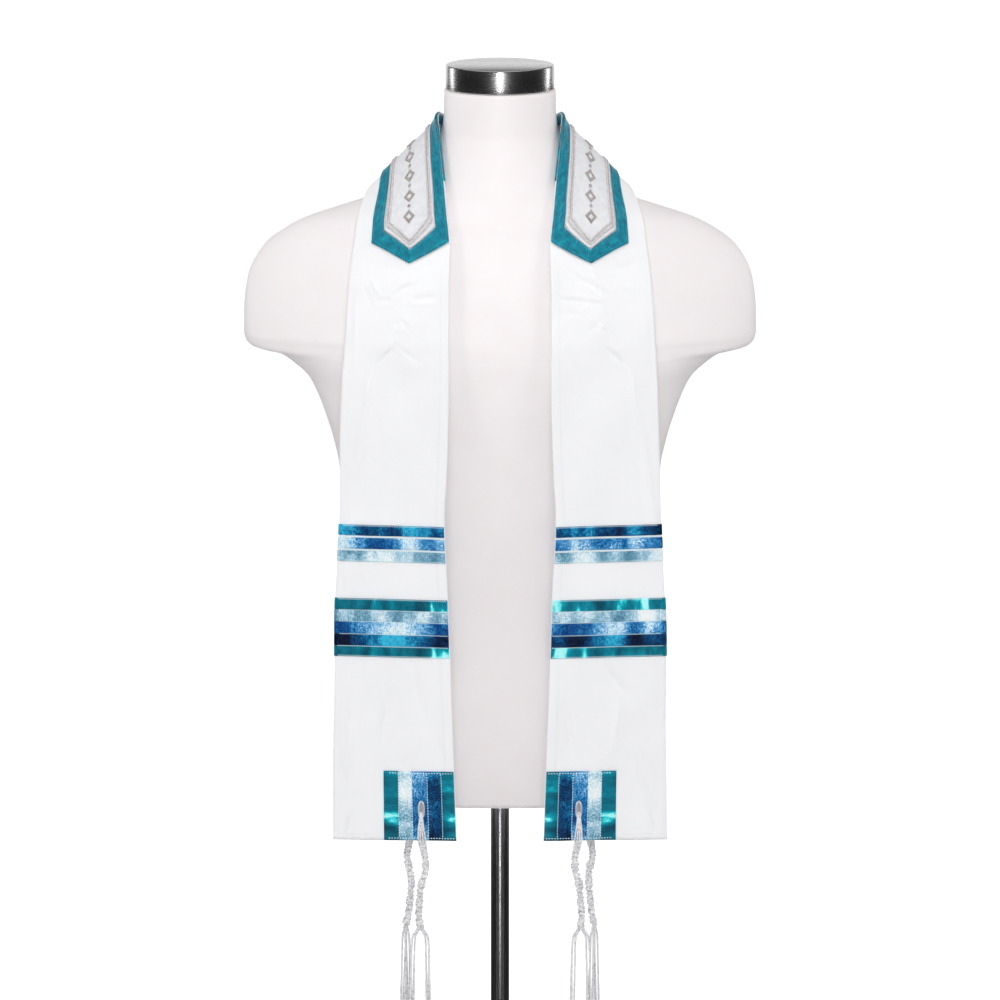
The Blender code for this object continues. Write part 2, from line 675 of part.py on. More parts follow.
def strand_paths(root, sign, layer):
    paths = []
    for k in range(STRANDS):
        angle = 2 * math.pi * (k + 0.5) / STRANDS
        ring = Vector((math.cos(angle), math.sin(angle), 0))
        bundle = math.copysign(1.0, ring.x)
        start = root + ring * 0.0020 + Vector((0, 0, 0.002))
        neat = Vector((bundle * BUNDLE_SPREAD, 0, 0)) + Vector(((abs(ring.x) - 0.65) * 0.007 * bundle, ring.y * 0.0042, 0))
        length = STRAND_LENGTH * (1 - 0.05 * ((3 * k + (layer == "back")) % 4) / 4)
        sway = 0.003 * math.sin(1.7 * k + sign)
        paths.append(bend((
            start, root + ring * 0.0030 - Vector((0, 0, 0.004)), root + neat * 0.8 - Vector((0, 0, 0.022)),
            root + neat * 1.1 + Vector((sway * 0.5, 0, -0.06)), root + neat * 1.25 + Vector((sway, sway * 0.3, -length)),
        ), 6))
    return paths


def fuse(head, meshes):
    """Joins closed meshes to an object, so that it is one body."""
    for mesh in meshes:
        helper = bpy.data.objects.new("helper", mesh)
        bpy.context.scene.collection.objects.link(helper)
        modifier(head, "BOOLEAN", operation="UNION", object=helper, solver="EXACT")
        bpy.context.view_layer.update()
        joined = bpy.data.meshes.new_from_object(head.evaluated_get(bpy.context.evaluated_depsgraph_get()))
        head.modifiers.clear()
        old = head.data
        head.data = joined
        joined.name = head.name
        bpy.data.meshes.remove(old)
        bpy.data.objects.remove(helper, do_unlink=True)
        bpy.data.meshes.remove(mesh)


def main():
    clear_scene()
    parts = new_collection("tallit_prayer_shawl")
    cutters = new_collection("cutters")
    form = make_form(parts)
    stole = Stole(form)
    cloth = make_cloth(stole, parts)
    make_neckband(stole, parts)
    make_ribbons(stole, parts)
    eyelets = make_eyelets(stole, cutters)
    for cutter in eyelets.values():
        cut(cloth, cutter)
    make_patches(stole, eyelets, parts)
    make_tassels(stole, parts)


main()
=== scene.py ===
import math

import bmesh
import bpy
import numpy as np
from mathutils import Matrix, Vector
from mathutils.bvhtree import BVHTree


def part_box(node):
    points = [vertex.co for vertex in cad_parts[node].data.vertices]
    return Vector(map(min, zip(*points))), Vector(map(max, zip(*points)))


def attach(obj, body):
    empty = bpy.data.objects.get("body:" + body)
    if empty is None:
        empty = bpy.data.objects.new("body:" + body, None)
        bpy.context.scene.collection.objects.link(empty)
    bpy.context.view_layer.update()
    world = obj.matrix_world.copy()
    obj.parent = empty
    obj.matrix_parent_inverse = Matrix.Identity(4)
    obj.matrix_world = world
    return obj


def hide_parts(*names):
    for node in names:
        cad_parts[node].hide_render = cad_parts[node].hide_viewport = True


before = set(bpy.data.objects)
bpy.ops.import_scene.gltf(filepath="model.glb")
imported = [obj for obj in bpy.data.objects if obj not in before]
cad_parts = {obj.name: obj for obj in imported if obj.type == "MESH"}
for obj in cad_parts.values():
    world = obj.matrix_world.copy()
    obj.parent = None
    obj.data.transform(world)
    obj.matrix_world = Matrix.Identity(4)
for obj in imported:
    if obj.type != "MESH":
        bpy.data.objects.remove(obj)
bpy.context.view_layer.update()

# The camera stands in front of the form and looks a little down on it, through a long lens. The light is a
# studio's: soft boxes at the sides, above and in front, and cards and strips that the steel reflects.
LOOK_AT = Vector((0.0, -0.030, 0.690))
CAMERA_DISTANCE = 40.0
CAMERA_TILT = math.radians(8.0)
VIEW_WIDTH = 0.960
SENSOR_WIDTH = 36.0

camera_data = bpy.data.cameras.new("camera")
camera_data.sensor_width = SENSOR_WIDTH
camera_data.lens = SENSOR_WIDTH * CAMERA_DISTANCE / VIEW_WIDTH
camera_data.clip_end = 120.0
camera = bpy.data.objects.new("camera", camera_data)
bpy.context.scene.collection.objects.link(camera)
camera.location = LOOK_AT + CAMERA_DISTANCE * Vector((0.0, -math.cos(CAMERA_TILT), math.sin(CAMERA_TILT)))
camera.rotation_euler = (math.pi / 2 - CAMERA_TILT, 0.0, 0.0)
bpy.context.scene.camera = camera

# Columns: name, place, the point it is aimed at, width, height, watts, seen in the steel, lights the cloth.
SOFT_BOXES = (
    ("front_strip", (0.0, -3.6, 0.9), (0.0, 0.0, 0.75), 0.26, 2.2, 26, True, True),
    ("left_box", (-2.9, -1.1, 2.2), (0.0, 0.0, 0.85), 0.8, 2.0, 26, False, True),
    ("right_box", (2.9, -1.1, 2.2), (0.0, 0.0, 0.85), 0.8, 2.0, 23, False, True),
    ("front_box", (0.0, -1.9, 2.25), (0.0, 0.0, 0.95), 1.2, 0.7, 15, False, True),
    ("top_box", (0.0, -0.3, 3.2), (0.0, 0.0, 0.8), 2.2, 1.6, 12, False, True),
    ("rear_card", (0.0, 5.0, 1.4), (0.0, 0.0, 1.0), 7.0, 2.6, 62, True, False),
    ("ceiling_card", (0.0, 0.0, 4.6), (0.0, 0.0, 0.0), 5.0, 5.0, 60, True, False),
    ("left_rim", (-2.4, 1.5, 1.2), (0.0, 0.0, 0.85), 0.5, 1.6, 9, True, True),
    ("right_rim", (2.4, 1.5, 1.2), (0.0, 0.0, 0.85), 0.5, 1.6, 9, True, True),
)
for name, place, aim, width, height, watts, in_steel, on_cloth in SOFT_BOXES:
    data = bpy.data.lights.new(name, "AREA")
    data.shape = "RECTANGLE"
    data.size = width
    data.size_y = height
    data.energy = watts
    box = bpy.data.objects.new(name, data)
    bpy.context.scene.collection.objects.link(box)
    box.location = place
    box.rotation_euler = (Vector(aim) - Vector(place)).to_track_quat("-Z", "Y").to_euler()
    box.visible_glossy = in_steel
    box.visible_diffuse = on_cloth
    box.visible_camera = False


def add_node(tree, kind, *values, **settings):
    """A node with its inputs set in order or by name; an output of another node is linked to its input."""
    made = tree.nodes.new(f"ShaderNode{kind}")
    inputs = [(made.inputs[place], value) for place, value in enumerate(values)]
    for key, value in settings.items():
        if key.replace("_", " ") in made.inputs:
            inputs.append((made.inputs[key.replace("_", " ")], value))
        else:
            setattr(made, key, value)
    for socket, value in inputs:
        if isinstance(value, bpy.types.NodeSocket):
            tree.links.new(value, socket)
        else:
            socket.default_value = value
    return made


def feed(node, **values):
    """Links outputs of other nodes to a node's inputs, by name."""
    for key, value in values.items():
        node.id_data.links.new(value, node.inputs[key.replace("_", " ")])


# The backdrop and the floor are plain and white to the camera. The steel sees a dark room and a dark floor.
BACKDROP_GLOW = 0.74
ROOM_LIGHT = 0.29
FLOOR_GLOW = 0.90
world = bpy.data.worlds.new("studio")
bpy.context.scene.world = world
world.use_nodes = True
sky = world.node_tree
sky.nodes.remove(sky.nodes["Background"])
ray = add_node(sky, "LightPath")
seen = ray.outputs["Is Camera Ray"]
light = add_node(sky, "Math", seen, BACKDROP_GLOW, ROOM_LIGHT, operation="MULTIPLY_ADD")
open_room = add_node(sky, "Background", (1.0, 1.0, 1.0, 1.0), light.outputs[0])
dark_room = add_node(sky, "Background", (0.035, 0.034, 0.036, 1.0))
rooms = add_node(sky, "MixShader", ray.outputs["Is Glossy Ray"], open_room.outputs[0], dark_room.outputs[0])
feed(sky.nodes["World Output"], Surface=rooms.outputs[0])
bpy.context.scene.view_settings.view_transform = "Standard"

bpy.ops.object.select_all(action="DESELECT")
bpy.ops.mesh.primitive_circle_add(vertices=96, radius=70.0, fill_type="NGON", location=(0.0, 0.0, 0.0))
floor = bpy.context.object
floor.name = "studio_floor"
floor_paint = bpy.data.materials.new("pale_floor")
floor_paint.use_nodes = True
tree = floor_paint.node_tree
shader = tree.nodes["Principled BSDF"]
shader.inputs["Base Color"].default_value = (0.93, 0.93, 0.935, 1.0)
shader.inputs["Roughness"].default_value = 0.9
shader.inputs["Emission Color"].default_value = (1.0, 1.0, 1.0, 1.0)
ray = add_node(tree, "LightPath")
glow = add_node(tree, "Math", ray.outputs["Is Camera Ray"], FLOOR_GLOW, operation="MULTIPLY")
feed(shader, Emission_Strength=glow.outputs[0])
dark_floor = add_node(tree, "BsdfDiffuse", (0.05, 0.05, 0.05, 1.0))
floors = add_node(tree, "MixShader", ray.outputs["Is Glossy Ray"], shader.outputs[0], dark_floor.outputs[0])
feed(tree.nodes["Material Output"], Surface=floors.outputs[0])
floor.data.materials.append(floor_paint)

# The torso form is one hollow moulded shell, smooth and off-white, with short closed shoulders and no arms.
# Its sections run from the hips up to the neck and are joined by smooth curves. Columns: height, half width,
# depth in front and behind, and fullness, which is how much of the depth the section keeps towards its sides.
FORM_SECTIONS = (
    (0.4000, 0.1500, 0.0930, 0.0850, 1.10),
    (0.4040, 0.1545, 0.0970, 0.0890, 1.10),
    (0.4400, 0.1565, 0.1000, 0.0960, 1.10),
    (0.5000, 0.1560, 0.1010, 0.0980, 1.10),
    (0.5600, 0.1520, 0.0990, 0.0900, 1.10),
    (0.6200, 0.1500, 0.0980, 0.0790, 1.10),
    (0.6800, 0.1525, 0.1010, 0.0770, 1.10),
    (0.7180, 0.1542, 0.1040, 0.0800, 1.12),
    (0.7440, 0.1594, 0.1070, 0.0840, 1.14),
    (0.7690, 0.1670, 0.1100, 0.0880, 1.16),
    (0.7930, 0.1762, 0.1130, 0.0930, 1.18),
    (0.8080, 0.1843, 0.1145, 0.0955, 1.20),
    (0.8190, 0.1958, 0.1155, 0.0975, 1.16),
    (0.8310, 0.2140, 0.1165, 0.0990, 1.06),
    (0.8365, 0.2380, 0.1165, 0.1000, 0.88),
    (0.8425, 0.2440, 0.1165, 0.1010, 0.86),
    (0.8500, 0.2458, 0.1160, 0.1020, 0.90),
    (0.8700, 0.2458, 0.1130, 0.1040, 0.87),
    (0.9040, 0.2420, 0.1060, 0.1030, 0.80),
    (0.9340, 0.2266, 0.0970, 0.0990, 0.68),
    (0.9500, 0.2064, 0.0910, 0.0960, 0.60),
    (0.9610, 0.1850, 0.0870, 0.0940, 0.56),
    (0.9710, 0.1550, 0.0820, 0.0910, 0.56),
    (0.9830, 0.1200, 0.0760, 0.0870, 0.60),
    (1.0000, 0.0940, 0.0680, 0.0810, 0.72),
    (1.0150, 0.0770, 0.0620, 0.0750, 0.85),
    (1.0300, 0.0640, 0.0560, 0.0690, 0.95),
    (1.0450, 0.0560, 0.0510, 0.0620, 1.00),
    (1.0600, 0.0540, 0.0500, 0.0580, 1.00),
    (1.0835, 0.0535, 0.0495, 0.0575, 1.00),
)
FORM_STEPS = 6
FORM_SIDES = 128


def smooth_through(rows, steps):
    """More rows on a smooth curve through a table's rows; no value goes past its neighbours."""
    rows = np.array(rows, dtype=float)
    lengths = np.linalg.norm(np.diff(rows[:, :2], axis=0), axis=1)
    slopes = np.diff(rows, axis=0) / lengths[:, None]
    tangents = np.zeros_like(rows)
    for k in range(1, len(rows) - 1):
        same = slopes[k - 1] * slopes[k] > 0
        mean = 2 * slopes[k - 1] * slopes[k] / np.where(same, slopes[k - 1] + slopes[k], 1.0)
        tangents[k] = np.where(same, mean, 0.0)
    tangents[0] = slopes[0]
    tangents[-1] = slopes[-1]
    made = []
    for k, span in enumerate(lengths):
        for t in np.arange(steps) / steps:
            between = (2 * t ** 3 - 3 * t ** 2 + 1) * rows[k] + (3 * t ** 2 - 2 * t ** 3) * rows[k + 1]
            bend = (t ** 3 - 2 * t ** 2 + t) * tangents[k] + (t ** 3 - t ** 2) * tangents[k + 1]
            made.append(between + span * bend)
    made.append(rows[-1])
    return made


def strip_faces(count, width, closed=False, base=0):
    """Quads between rows of points; closed joins each row's ends."""
    rows = np.arange(count - 1)[:, None] * width + base
    columns = np.arange(width if closed else width - 1)[None, :]
    after = (columns + 1) % width
    quads = np.stack((rows + columns, rows + after, rows + after + width, rows + columns + width), axis=-1)
    return quads.reshape(-1, 4).tolist()


def cap_faces(count, width, base=0):
    last = base + (count - 1) * width
    return [list(range(base + width - 1, base - 1, -1)), list(range(last, last + width))]


def mesh_piece(name, points, faces, places=None, turn_out=False):
    """A smooth mesh object; places holds the place on the cloth, in metres, of each point or face corner."""
    mesh = bpy.data.meshes.new(name)
    mesh.from_pydata(np.reshape(points, (-1, 3)).tolist(), [], faces)
    if places is not None:
        flat = np.asarray(places, dtype=float).reshape(-1, 2)
        corners = np.zeros(len(mesh.loops), dtype=int)
        mesh.loops.foreach_get("vertex_index", corners)
        at_corners = flat if len(flat) == len(corners) else flat[corners]
        mesh.uv_layers.new(name="cloth").data.foreach_set("uv", at_corners.ravel())
    if turn_out:
        shape = bmesh.new()
        shape.from_mesh(mesh)
        bmesh.ops.recalc_face_normals(shape, faces=shape.faces)
        shape.to_mesh(mesh)
        shape.free()
    mesh.shade_smooth()
    piece = bpy.data.objects.new(name, mesh)
    bpy.context.scene.collection.objects.link(piece)
    return piece


def grid_piece(name, grid, places=None, closed=False):
    """A mesh object of quads between rows of points; closed also caps both end rows."""
    grid = np.asarray(grid, dtype=float)
    count, width = grid.shape[:2]
    caps = cap_faces(count, width) if closed else []
    return mesh_piece(name, grid, strip_faces(count, width, closed) + caps, places)


def face_out(piece, probe, outwards):
    """Turns all faces round if the face nearest to a probe point looks the wrong way."""
    nearest = min(piece.data.polygons, key=lambda face: (face.center - Vector(probe)).length_squared)
    if nearest.normal.dot(Vector(outwards)) < 0:
        piece.data.flip_normals()


def new_material(name, colour, roughness, metallic=0.0, sheen=0.0):
    made = bpy.data.materials.new(name)
    made.use_nodes = True
    shader = made.node_tree.nodes["Principled BSDF"]
    finish = {"Base Color": (*colour, 1.0), "Roughness": roughness, "Metallic": metallic,
              "Sheen Weight": sheen, "Sheen Roughness": 0.4}
    for socket, value in finish.items():
        shader.inputs[socket].default_value = value
    return made, made.node_tree, shader


def colour_ramp(tree, source, stops):
    ramp = add_node(tree, "ValToRGB", source)
    while len(ramp.color_ramp.elements) < len(stops):
        ramp.color_ramp.elements.new(0.5)
    for element, (place, colour) in zip(ramp.color_ramp.elements, stops):
        element.position = place
        element.color = (*colour, 1.0)
    return ramp.outputs["Color"]


def add_bump(tree, shader, height, distance, strength=1.0):
    bump = add_node(tree, "Bump", Height=height, Strength=strength, Distance=distance)
    feed(shader, Normal=bump.outputs["Normal"])
    return bump


def keep(piece, node, material):
    """Gives a finished piece its material and its body, and hides the solid that it stands for, if there is
    one.
    """
    piece.data.materials.append(material)
    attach(piece, "root")
    if node:
        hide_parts(node)
    return piece


form_rings = []
for height, half_width, front, back, fullness in smooth_through(FORM_SECTIONS, FORM_STEPS):
    angles = np.arange(FORM_SIDES) * 2 * math.pi / FORM_SIDES
    lean = fullness + (1 - fullness) * np.sin(angles) ** 2
    depths = np.where(np.sin(angles) > 0, back, front)
    form_rings.append(np.stack((half_width * np.cos(angles), depths * np.sin(angles) * lean,
                                np.full(FORM_SIDES, height)), axis=-1))
torso = grid_piece("torso_shell", form_rings, closed=True)
face_out(torso, (0.0, -0.3, 0.7), (0, -1, 0))
shell_paint, tree, shader = new_material("form_shell", (0.91, 0.868, 0.872), 0.5)
place = add_node(tree, "TexCoord")
blotch = add_node(tree, "TexNoise", place.outputs["Object"], Scale=7.0, Detail=4.0, Roughness=0.6)
SHELL_TONES = ((0.35, (0.893, 0.843, 0.848)), (0.65, (0.925, 0.886, 0.890)))
feed(shader, Base_Color=colour_ramp(tree, blotch.outputs["Fac"], SHELL_TONES))
grain = add_node(tree, "TexNoise", place.outputs["Object"], Scale=650.0, Detail=2.0)
add_bump(tree, shader, grain.outputs["Fac"], 0.0002, 0.35)
shader.inputs["Subsurface Weight"].default_value = 0.05
shader.inputs["Subsurface Scale"].default_value = 0.004
keep(torso, "form_body", shell_paint)

# The neck cap, the pole and the round base are brushed stainless steel. The cap is spun and pressed onto the
# neck, the pole is drawn tube that goes up into the torso, and the base is a turned disc with a boss.
NECK_Y = 0.004


def node_group(name, takes, gives):
    """A shader node group with its input and output nodes; all its sockets are floats."""
    group = bpy.data.node_groups.new(name, "ShaderNodeTree")
    for sockets, way in ((gives, "OUTPUT"), (takes, "INPUT")):
        for socket in sockets:
            group.interface.new_socket(socket, in_out=way, socket_type="NodeSocketFloat")
    return group, group.nodes.new("NodeGroupInput"), group.nodes.new("NodeGroupOutput")


def brush_lines(name, along_z):
    """Fine brush lines and their shine: lengthwise on drawn tube, and round the axis on turned pieces."""
    group, _, end = node_group(name, (), ("Height", "Roughness"))
    place = add_node(group, "TexCoord")
    parts = add_node(group, "SeparateXYZ", place.outputs["Object"])
    joined = add_node(group, "CombineXYZ", parts.outputs["X"], parts.outputs["Y"])
    if not along_z:
        radius = add_node(group, "VectorMath", joined.outputs["Vector"], operation="LENGTH")
        joined = add_node(group, "CombineXYZ", radius.outputs["Value"], Z=parts.outputs["Z"])
    lines = add_node(group, "TexNoise", joined.outputs["Vector"], Scale=900.0, Detail=3.0, Roughness=0.7)
    shine = add_node(group, "MapRange", lines.outputs["Fac"], To_Min=0.20, To_Max=0.34)
    feed(end, Height=lines.outputs["Fac"], Roughness=shine.outputs["Result"])
    return group


def brushed_steel(name, colour, lines, metallic=1.0):
    made, tree, shader = new_material(name, colour, 0.26, metallic=metallic)
    brush = add_node(tree, "Group", node_tree=lines)
    feed(shader, Roughness=brush.outputs["Roughness"])
    add_bump(tree, shader, brush.outputs["Height"], 0.00005, 0.4)
    return made


def turned_solid(name, radius, low, high, bevel, centre_y=0.0, sides=96):
    """A cylinder primitive from low to high with its rim edges bevelled."""
    bpy.ops.object.select_all(action="DESELECT")
    bpy.ops.mesh.primitive_cylinder_add(vertices=sides, radius=radius, depth=high - low,
                                        location=(0.0, centre_y, (low + high) / 2))
    piece = bpy.context.object
    piece.name = name
    bpy.ops.object.transform_apply(location=True, rotation=True, scale=True)
    bpy.ops.object.mode_set(mode="EDIT")
    bpy.ops.mesh.select_mode(type="EDGE")
    bpy.ops.mesh.select_all(action="DESELECT")
    bpy.ops.object.mode_set(mode="OBJECT")
    for edge in piece.data.edges:
        first, second = (piece.data.vertices[v].co for v in edge.vertices)
        edge.select = abs(first.z - second.z) < 1e-6
    bpy.ops.object.mode_set(mode="EDIT")
    bpy.ops.mesh.bevel(offset=bevel, segments=3, affect="EDGES")
    bpy.ops.object.mode_set(mode="OBJECT")
    bpy.ops.object.shade_smooth_by_angle(angle=math.radians(40))
    return piece


def raise_boss(piece, radius, height):
    """Insets the top face to a radius and lifts it."""
    bpy.ops.object.mode_set(mode="EDIT")
    bpy.ops.mesh.select_mode(type="FACE")
    bpy.ops.mesh.select_all(action="DESELECT")
    bpy.ops.object.mode_set(mode="OBJECT")
    flat = max(piece.data.polygons, key=lambda face: face.center.z * 100 + face.area)
    rim = max((piece.data.vertices[v].co.xy.length for v in flat.vertices))
    flat.select = True
    bpy.ops.object.mode_set(mode="EDIT")
    bpy.ops.mesh.inset(thickness=rim - radius)
    bpy.ops.mesh.extrude_region_move(TRANSFORM_OT_translate={"value": (0.0, 0.0, height)})
    bpy.ops.mesh.bevel(offset=0.0012, segments=3)
    bpy.ops.object.mode_set(mode="OBJECT")
    bpy.ops.object.shade_smooth_by_angle(angle=math.radians(40))


turned_lines = brush_lines("turned_lines", False)
cap_steel = brushed_steel("cap_steel", (0.62, 0.61, 0.61), turned_lines)
pole_steel = brushed_steel("pole_steel", (0.36, 0.35, 0.36), brush_lines("drawn_lines", True))
base_steel = brushed_steel("base_steel", (0.52, 0.51, 0.52), turned_lines, metallic=0.7)
cap_low, cap_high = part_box("neck_cap")[0][2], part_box("neck_cap")[1][2]
cap = turned_solid("steel_neck_cap", 0.0523, cap_low, cap_high, 0.0012, NECK_Y)
keep(cap, "neck_cap", cap_steel)
pole_low, pole_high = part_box("stand_pole")[0][2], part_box("stand_pole")[1][2]
pole = turned_solid("steel_pole", 0.0088, pole_low, pole_high, 0.0004, sides=48)
keep(pole, "stand_pole", pole_steel)
base = turned_solid("steel_base", 0.160, 0.0, 0.008, 0.0018)
raise_boss(base, 0.017, 0.022)
keep(base, "stand_base", base_steel)

# The shawl is one long white cloth, folded in four lengthwise and hung round the neck. This shell is its
# front layer, its rounded outer fold and its back layer. It lies on the form at the neck, shoulders and chest
# and hangs free below. Its free inner edge and its ends are narrow hems.
WALL = 0.0012
HIDDEN_LAYERS = 0.0024
FOLD_WIDTH = 0.0088
COLLAR_RECESS = 0.07
LAYER_GAP = 0.0004
CORNER_GAP = 0.0036
FORM_CLEARANCE = 0.0022
BACK_RECESS_NAPE = 0.055
BACK_RECESS_HEM = 0.124
DRAPE_ROWS = 240
DRAPE_SPANS = 30
# Columns: inner edge x, y and z, and outer edge x, y and z, from the nape to the hem of the right-hand half.
STOLE_SECTIONS = (
    (0.0000, 0.0700, 1.0460, 0.0000, 0.1040, 0.9400),
    (0.0340, 0.0620, 1.0490, 0.0480, 0.0980, 0.9460),
    (0.0530, 0.0360, 1.0540, 0.0950, 0.0700, 0.9640),
    (0.0575, 0.0020, 1.0570, 0.1240, 0.0080, 0.9900),
    (0.0555, -0.0330, 1.0300, 0.1310, -0.0240, 0.9790),
    (0.0530, -0.0580, 1.0000, 0.1360, -0.0440, 0.9670),
    (0.0505, -0.0800, 0.9720, 0.1390, -0.0580, 0.9550),
    (0.0480, -0.0970, 0.9470, 0.1415, -0.0700, 0.9410),
    (0.0490, -0.1110, 0.9120, 0.1460, -0.0840, 0.9110),
    (0.0490, -0.1190, 0.8620, 0.1490, -0.0965, 0.8620),
    (0.0490, -0.1225, 0.8040, 0.1525, -0.1000, 0.8050),
    (0.0513, -0.1225, 0.7290, 0.1540, -0.1000, 0.7290),
    (0.0534, -0.1215, 0.6830, 0.1549, -0.1000, 0.6830),
    (0.0500, -0.1200, 0.6080, 0.1584, -0.1000, 0.6080),
    (0.0480, -0.1195, 0.5520, 0.1594, -0.1005, 0.5520),
    (0.0415, -0.1190, 0.3720, 0.1608, -0.1010, 0.3710),
)
LAST = len(STOLE_SECTIONS) - 1

form_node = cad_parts["form_body"]
form_tree = BVHTree.FromPolygons([form_node.matrix_world @ v.co for v in form_node.data.vertices],
                                 [tuple(p.vertices) for p in form_node.data.polygons])
stole_table = np.array(STOLE_SECTIONS)
stole_table = np.vstack((stole_table[1] * np.array((-1, 1, 1, -1, 1, 1)), stole_table,
                         2 * stole_table[-1] - stole_table[-2]))


def unit(vectors):
    return vectors / np.linalg.norm(vectors, axis=-1, keepdims=True)


def run_along(points):
    """Length along a line of points, from its start to each of them."""
    return np.concatenate(((0,), np.cumsum(np.linalg.norm(np.diff(points, axis=0), axis=1))))


def spline(a, b, c, d, f):
    """A smooth curve from b to c, at a fraction of the way; a and d are the points before and after."""
    return b + f * ((c - a) / 2 + f * (a - 2.5 * b + 2 * c - d / 2 + f * (1.5 * (b - c) + (d - a) / 2)))


def stole_section(t):
    """Inner and outer edge at a table position, on a smooth curve through the rows."""
    k = min(int(t), LAST - 1)
    return spline(*stole_table[k:k + 4], t - k)


def ease(low, high, value):
    share = np.clip((value - low) / (high - low), 0.0, 1.0)
    return share * share * (3 - 2 * share)


def layer_gap(height, share):
    """Space between the layers, that opens round the tassel loops at the lower inner corner."""
    near = (1 - ease(0.415, 0.470, height)) * (1 - ease(0.45, 0.85, share))
    return LAYER_GAP + (CORNER_GAP - LAYER_GAP) * near


def stack_depth(height, share):
    return 2 * WALL + HIDDEN_LAYERS + 2 * layer_gap(height, share)


table_places = np.linspace(0, LAST, 600)
section_ends = np.array([stole_section(t) for t in table_places])
middle_run = run_along((section_ends[:, :3] + section_ends[:, 3:]) / 2)
HALF_LENGTH = middle_run[-1]
drape_along = np.linspace(0, HALF_LENGTH, DRAPE_ROWS)
drape_across = np.linspace(0, 1, DRAPE_SPANS)
drape = []
for t in np.interp(drape_along, middle_run, table_places):
    inner, outer = np.split(stole_section(t), 2)
    outer = outer - unit(outer - inner) * stack_depth(inner[2], 1.0) / 2
    drape.append([inner + (outer - inner) * share for share in drape_across])
drape = np.array(drape)


def drape_normals():
    down = np.gradient(drape, axis=0)
    down[0] = np.array((1.0, 0.0, 0.0))
    return unit(np.cross(down, np.gradient(drape, axis=1)))


def push_off_form(reach=0.07):
    normals = drape_normals()
    for i in range(DRAPE_ROWS):
        for j in range(DRAPE_SPANS):
            point, normal = Vector(drape[i, j]), Vector(normals[i, j])
            hit = form_tree.ray_cast(point + normal * reach, -normal, 2 * reach)[0]
            if hit is not None:
                wanted = float(stack_depth(point.z, drape_across[j])) + FORM_CLEARANCE
                drape[i, j] += normals[i, j] * max(0.0, wanted - (point - hit).dot(normal))


SETTLING_ROUNDS = 9
for _ in range(SETTLING_ROUNDS):
    push_off_form()
    drape[1:-1] = (drape[:-2] + 2 * drape[1:-1] + drape[2:]) / 4
    drape[:, 1:-1] = (drape[:, :-2] + 2 * drape[:, 1:-1] + drape[:, 2:]) / 4
push_off_form()
drape_out = drape_normals()
drape_heights = drape[:, DRAPE_SPANS // 2, 2]


def run_at(height):
    """Length from the nape at which the hanging front has this height."""
    start = DRAPE_ROWS // 6
    return float(np.interp(-height, -drape_heights[start:], drape_along[start:]))


# The photo's scale in metres a pixel, its middle column, and the row that the floor would have.
PHOTO_SCALE = 0.00096
PHOTO_MIDDLE = 500
PHOTO_FLOOR_ROW = 1207


def read_drape(grid, along, share):
    i = np.abs(along) / HALF_LENGTH * (DRAPE_ROWS - 1)
    j = share * (DRAPE_SPANS - 1)
    i0 = np.minimum(i.astype(int), DRAPE_ROWS - 2)
    j0 = np.minimum(j.astype(int), DRAPE_SPANS - 2)
    fi, fj = (i - i0)[..., None], (j - j0)[..., None]
    low = grid[i0, j0] * (1 - fj) + grid[i0, j0 + 1] * fj
    high = grid[i0 + 1, j0] * (1 - fj) + grid[i0 + 1, j0 + 1] * fj
    return low * (1 - fi) + high * fi


def cloth_place(column, row):
    """Length from the nape and share of the width at a point of the photo, by its pixel column and row."""
    across = abs(column - PHOTO_MIDDLE) * PHOTO_SCALE
    front = 0.10
    for _ in range(4):
        height = (PHOTO_FLOOR_ROW - row) * PHOTO_SCALE / math.cos(CAMERA_TILT) + front * math.tan(CAMERA_TILT)
        run = run_at(height)
        inner, outer = (read_drape(drape, np.array(run), np.array(edge)) for edge in (0.0, 1.0))
        share = min(max((across - inner[0]) / (outer[0] - inner[0]), 0.02), 0.98)
        front = -(inner + (outer - inner) * share)[1]
    return run, share
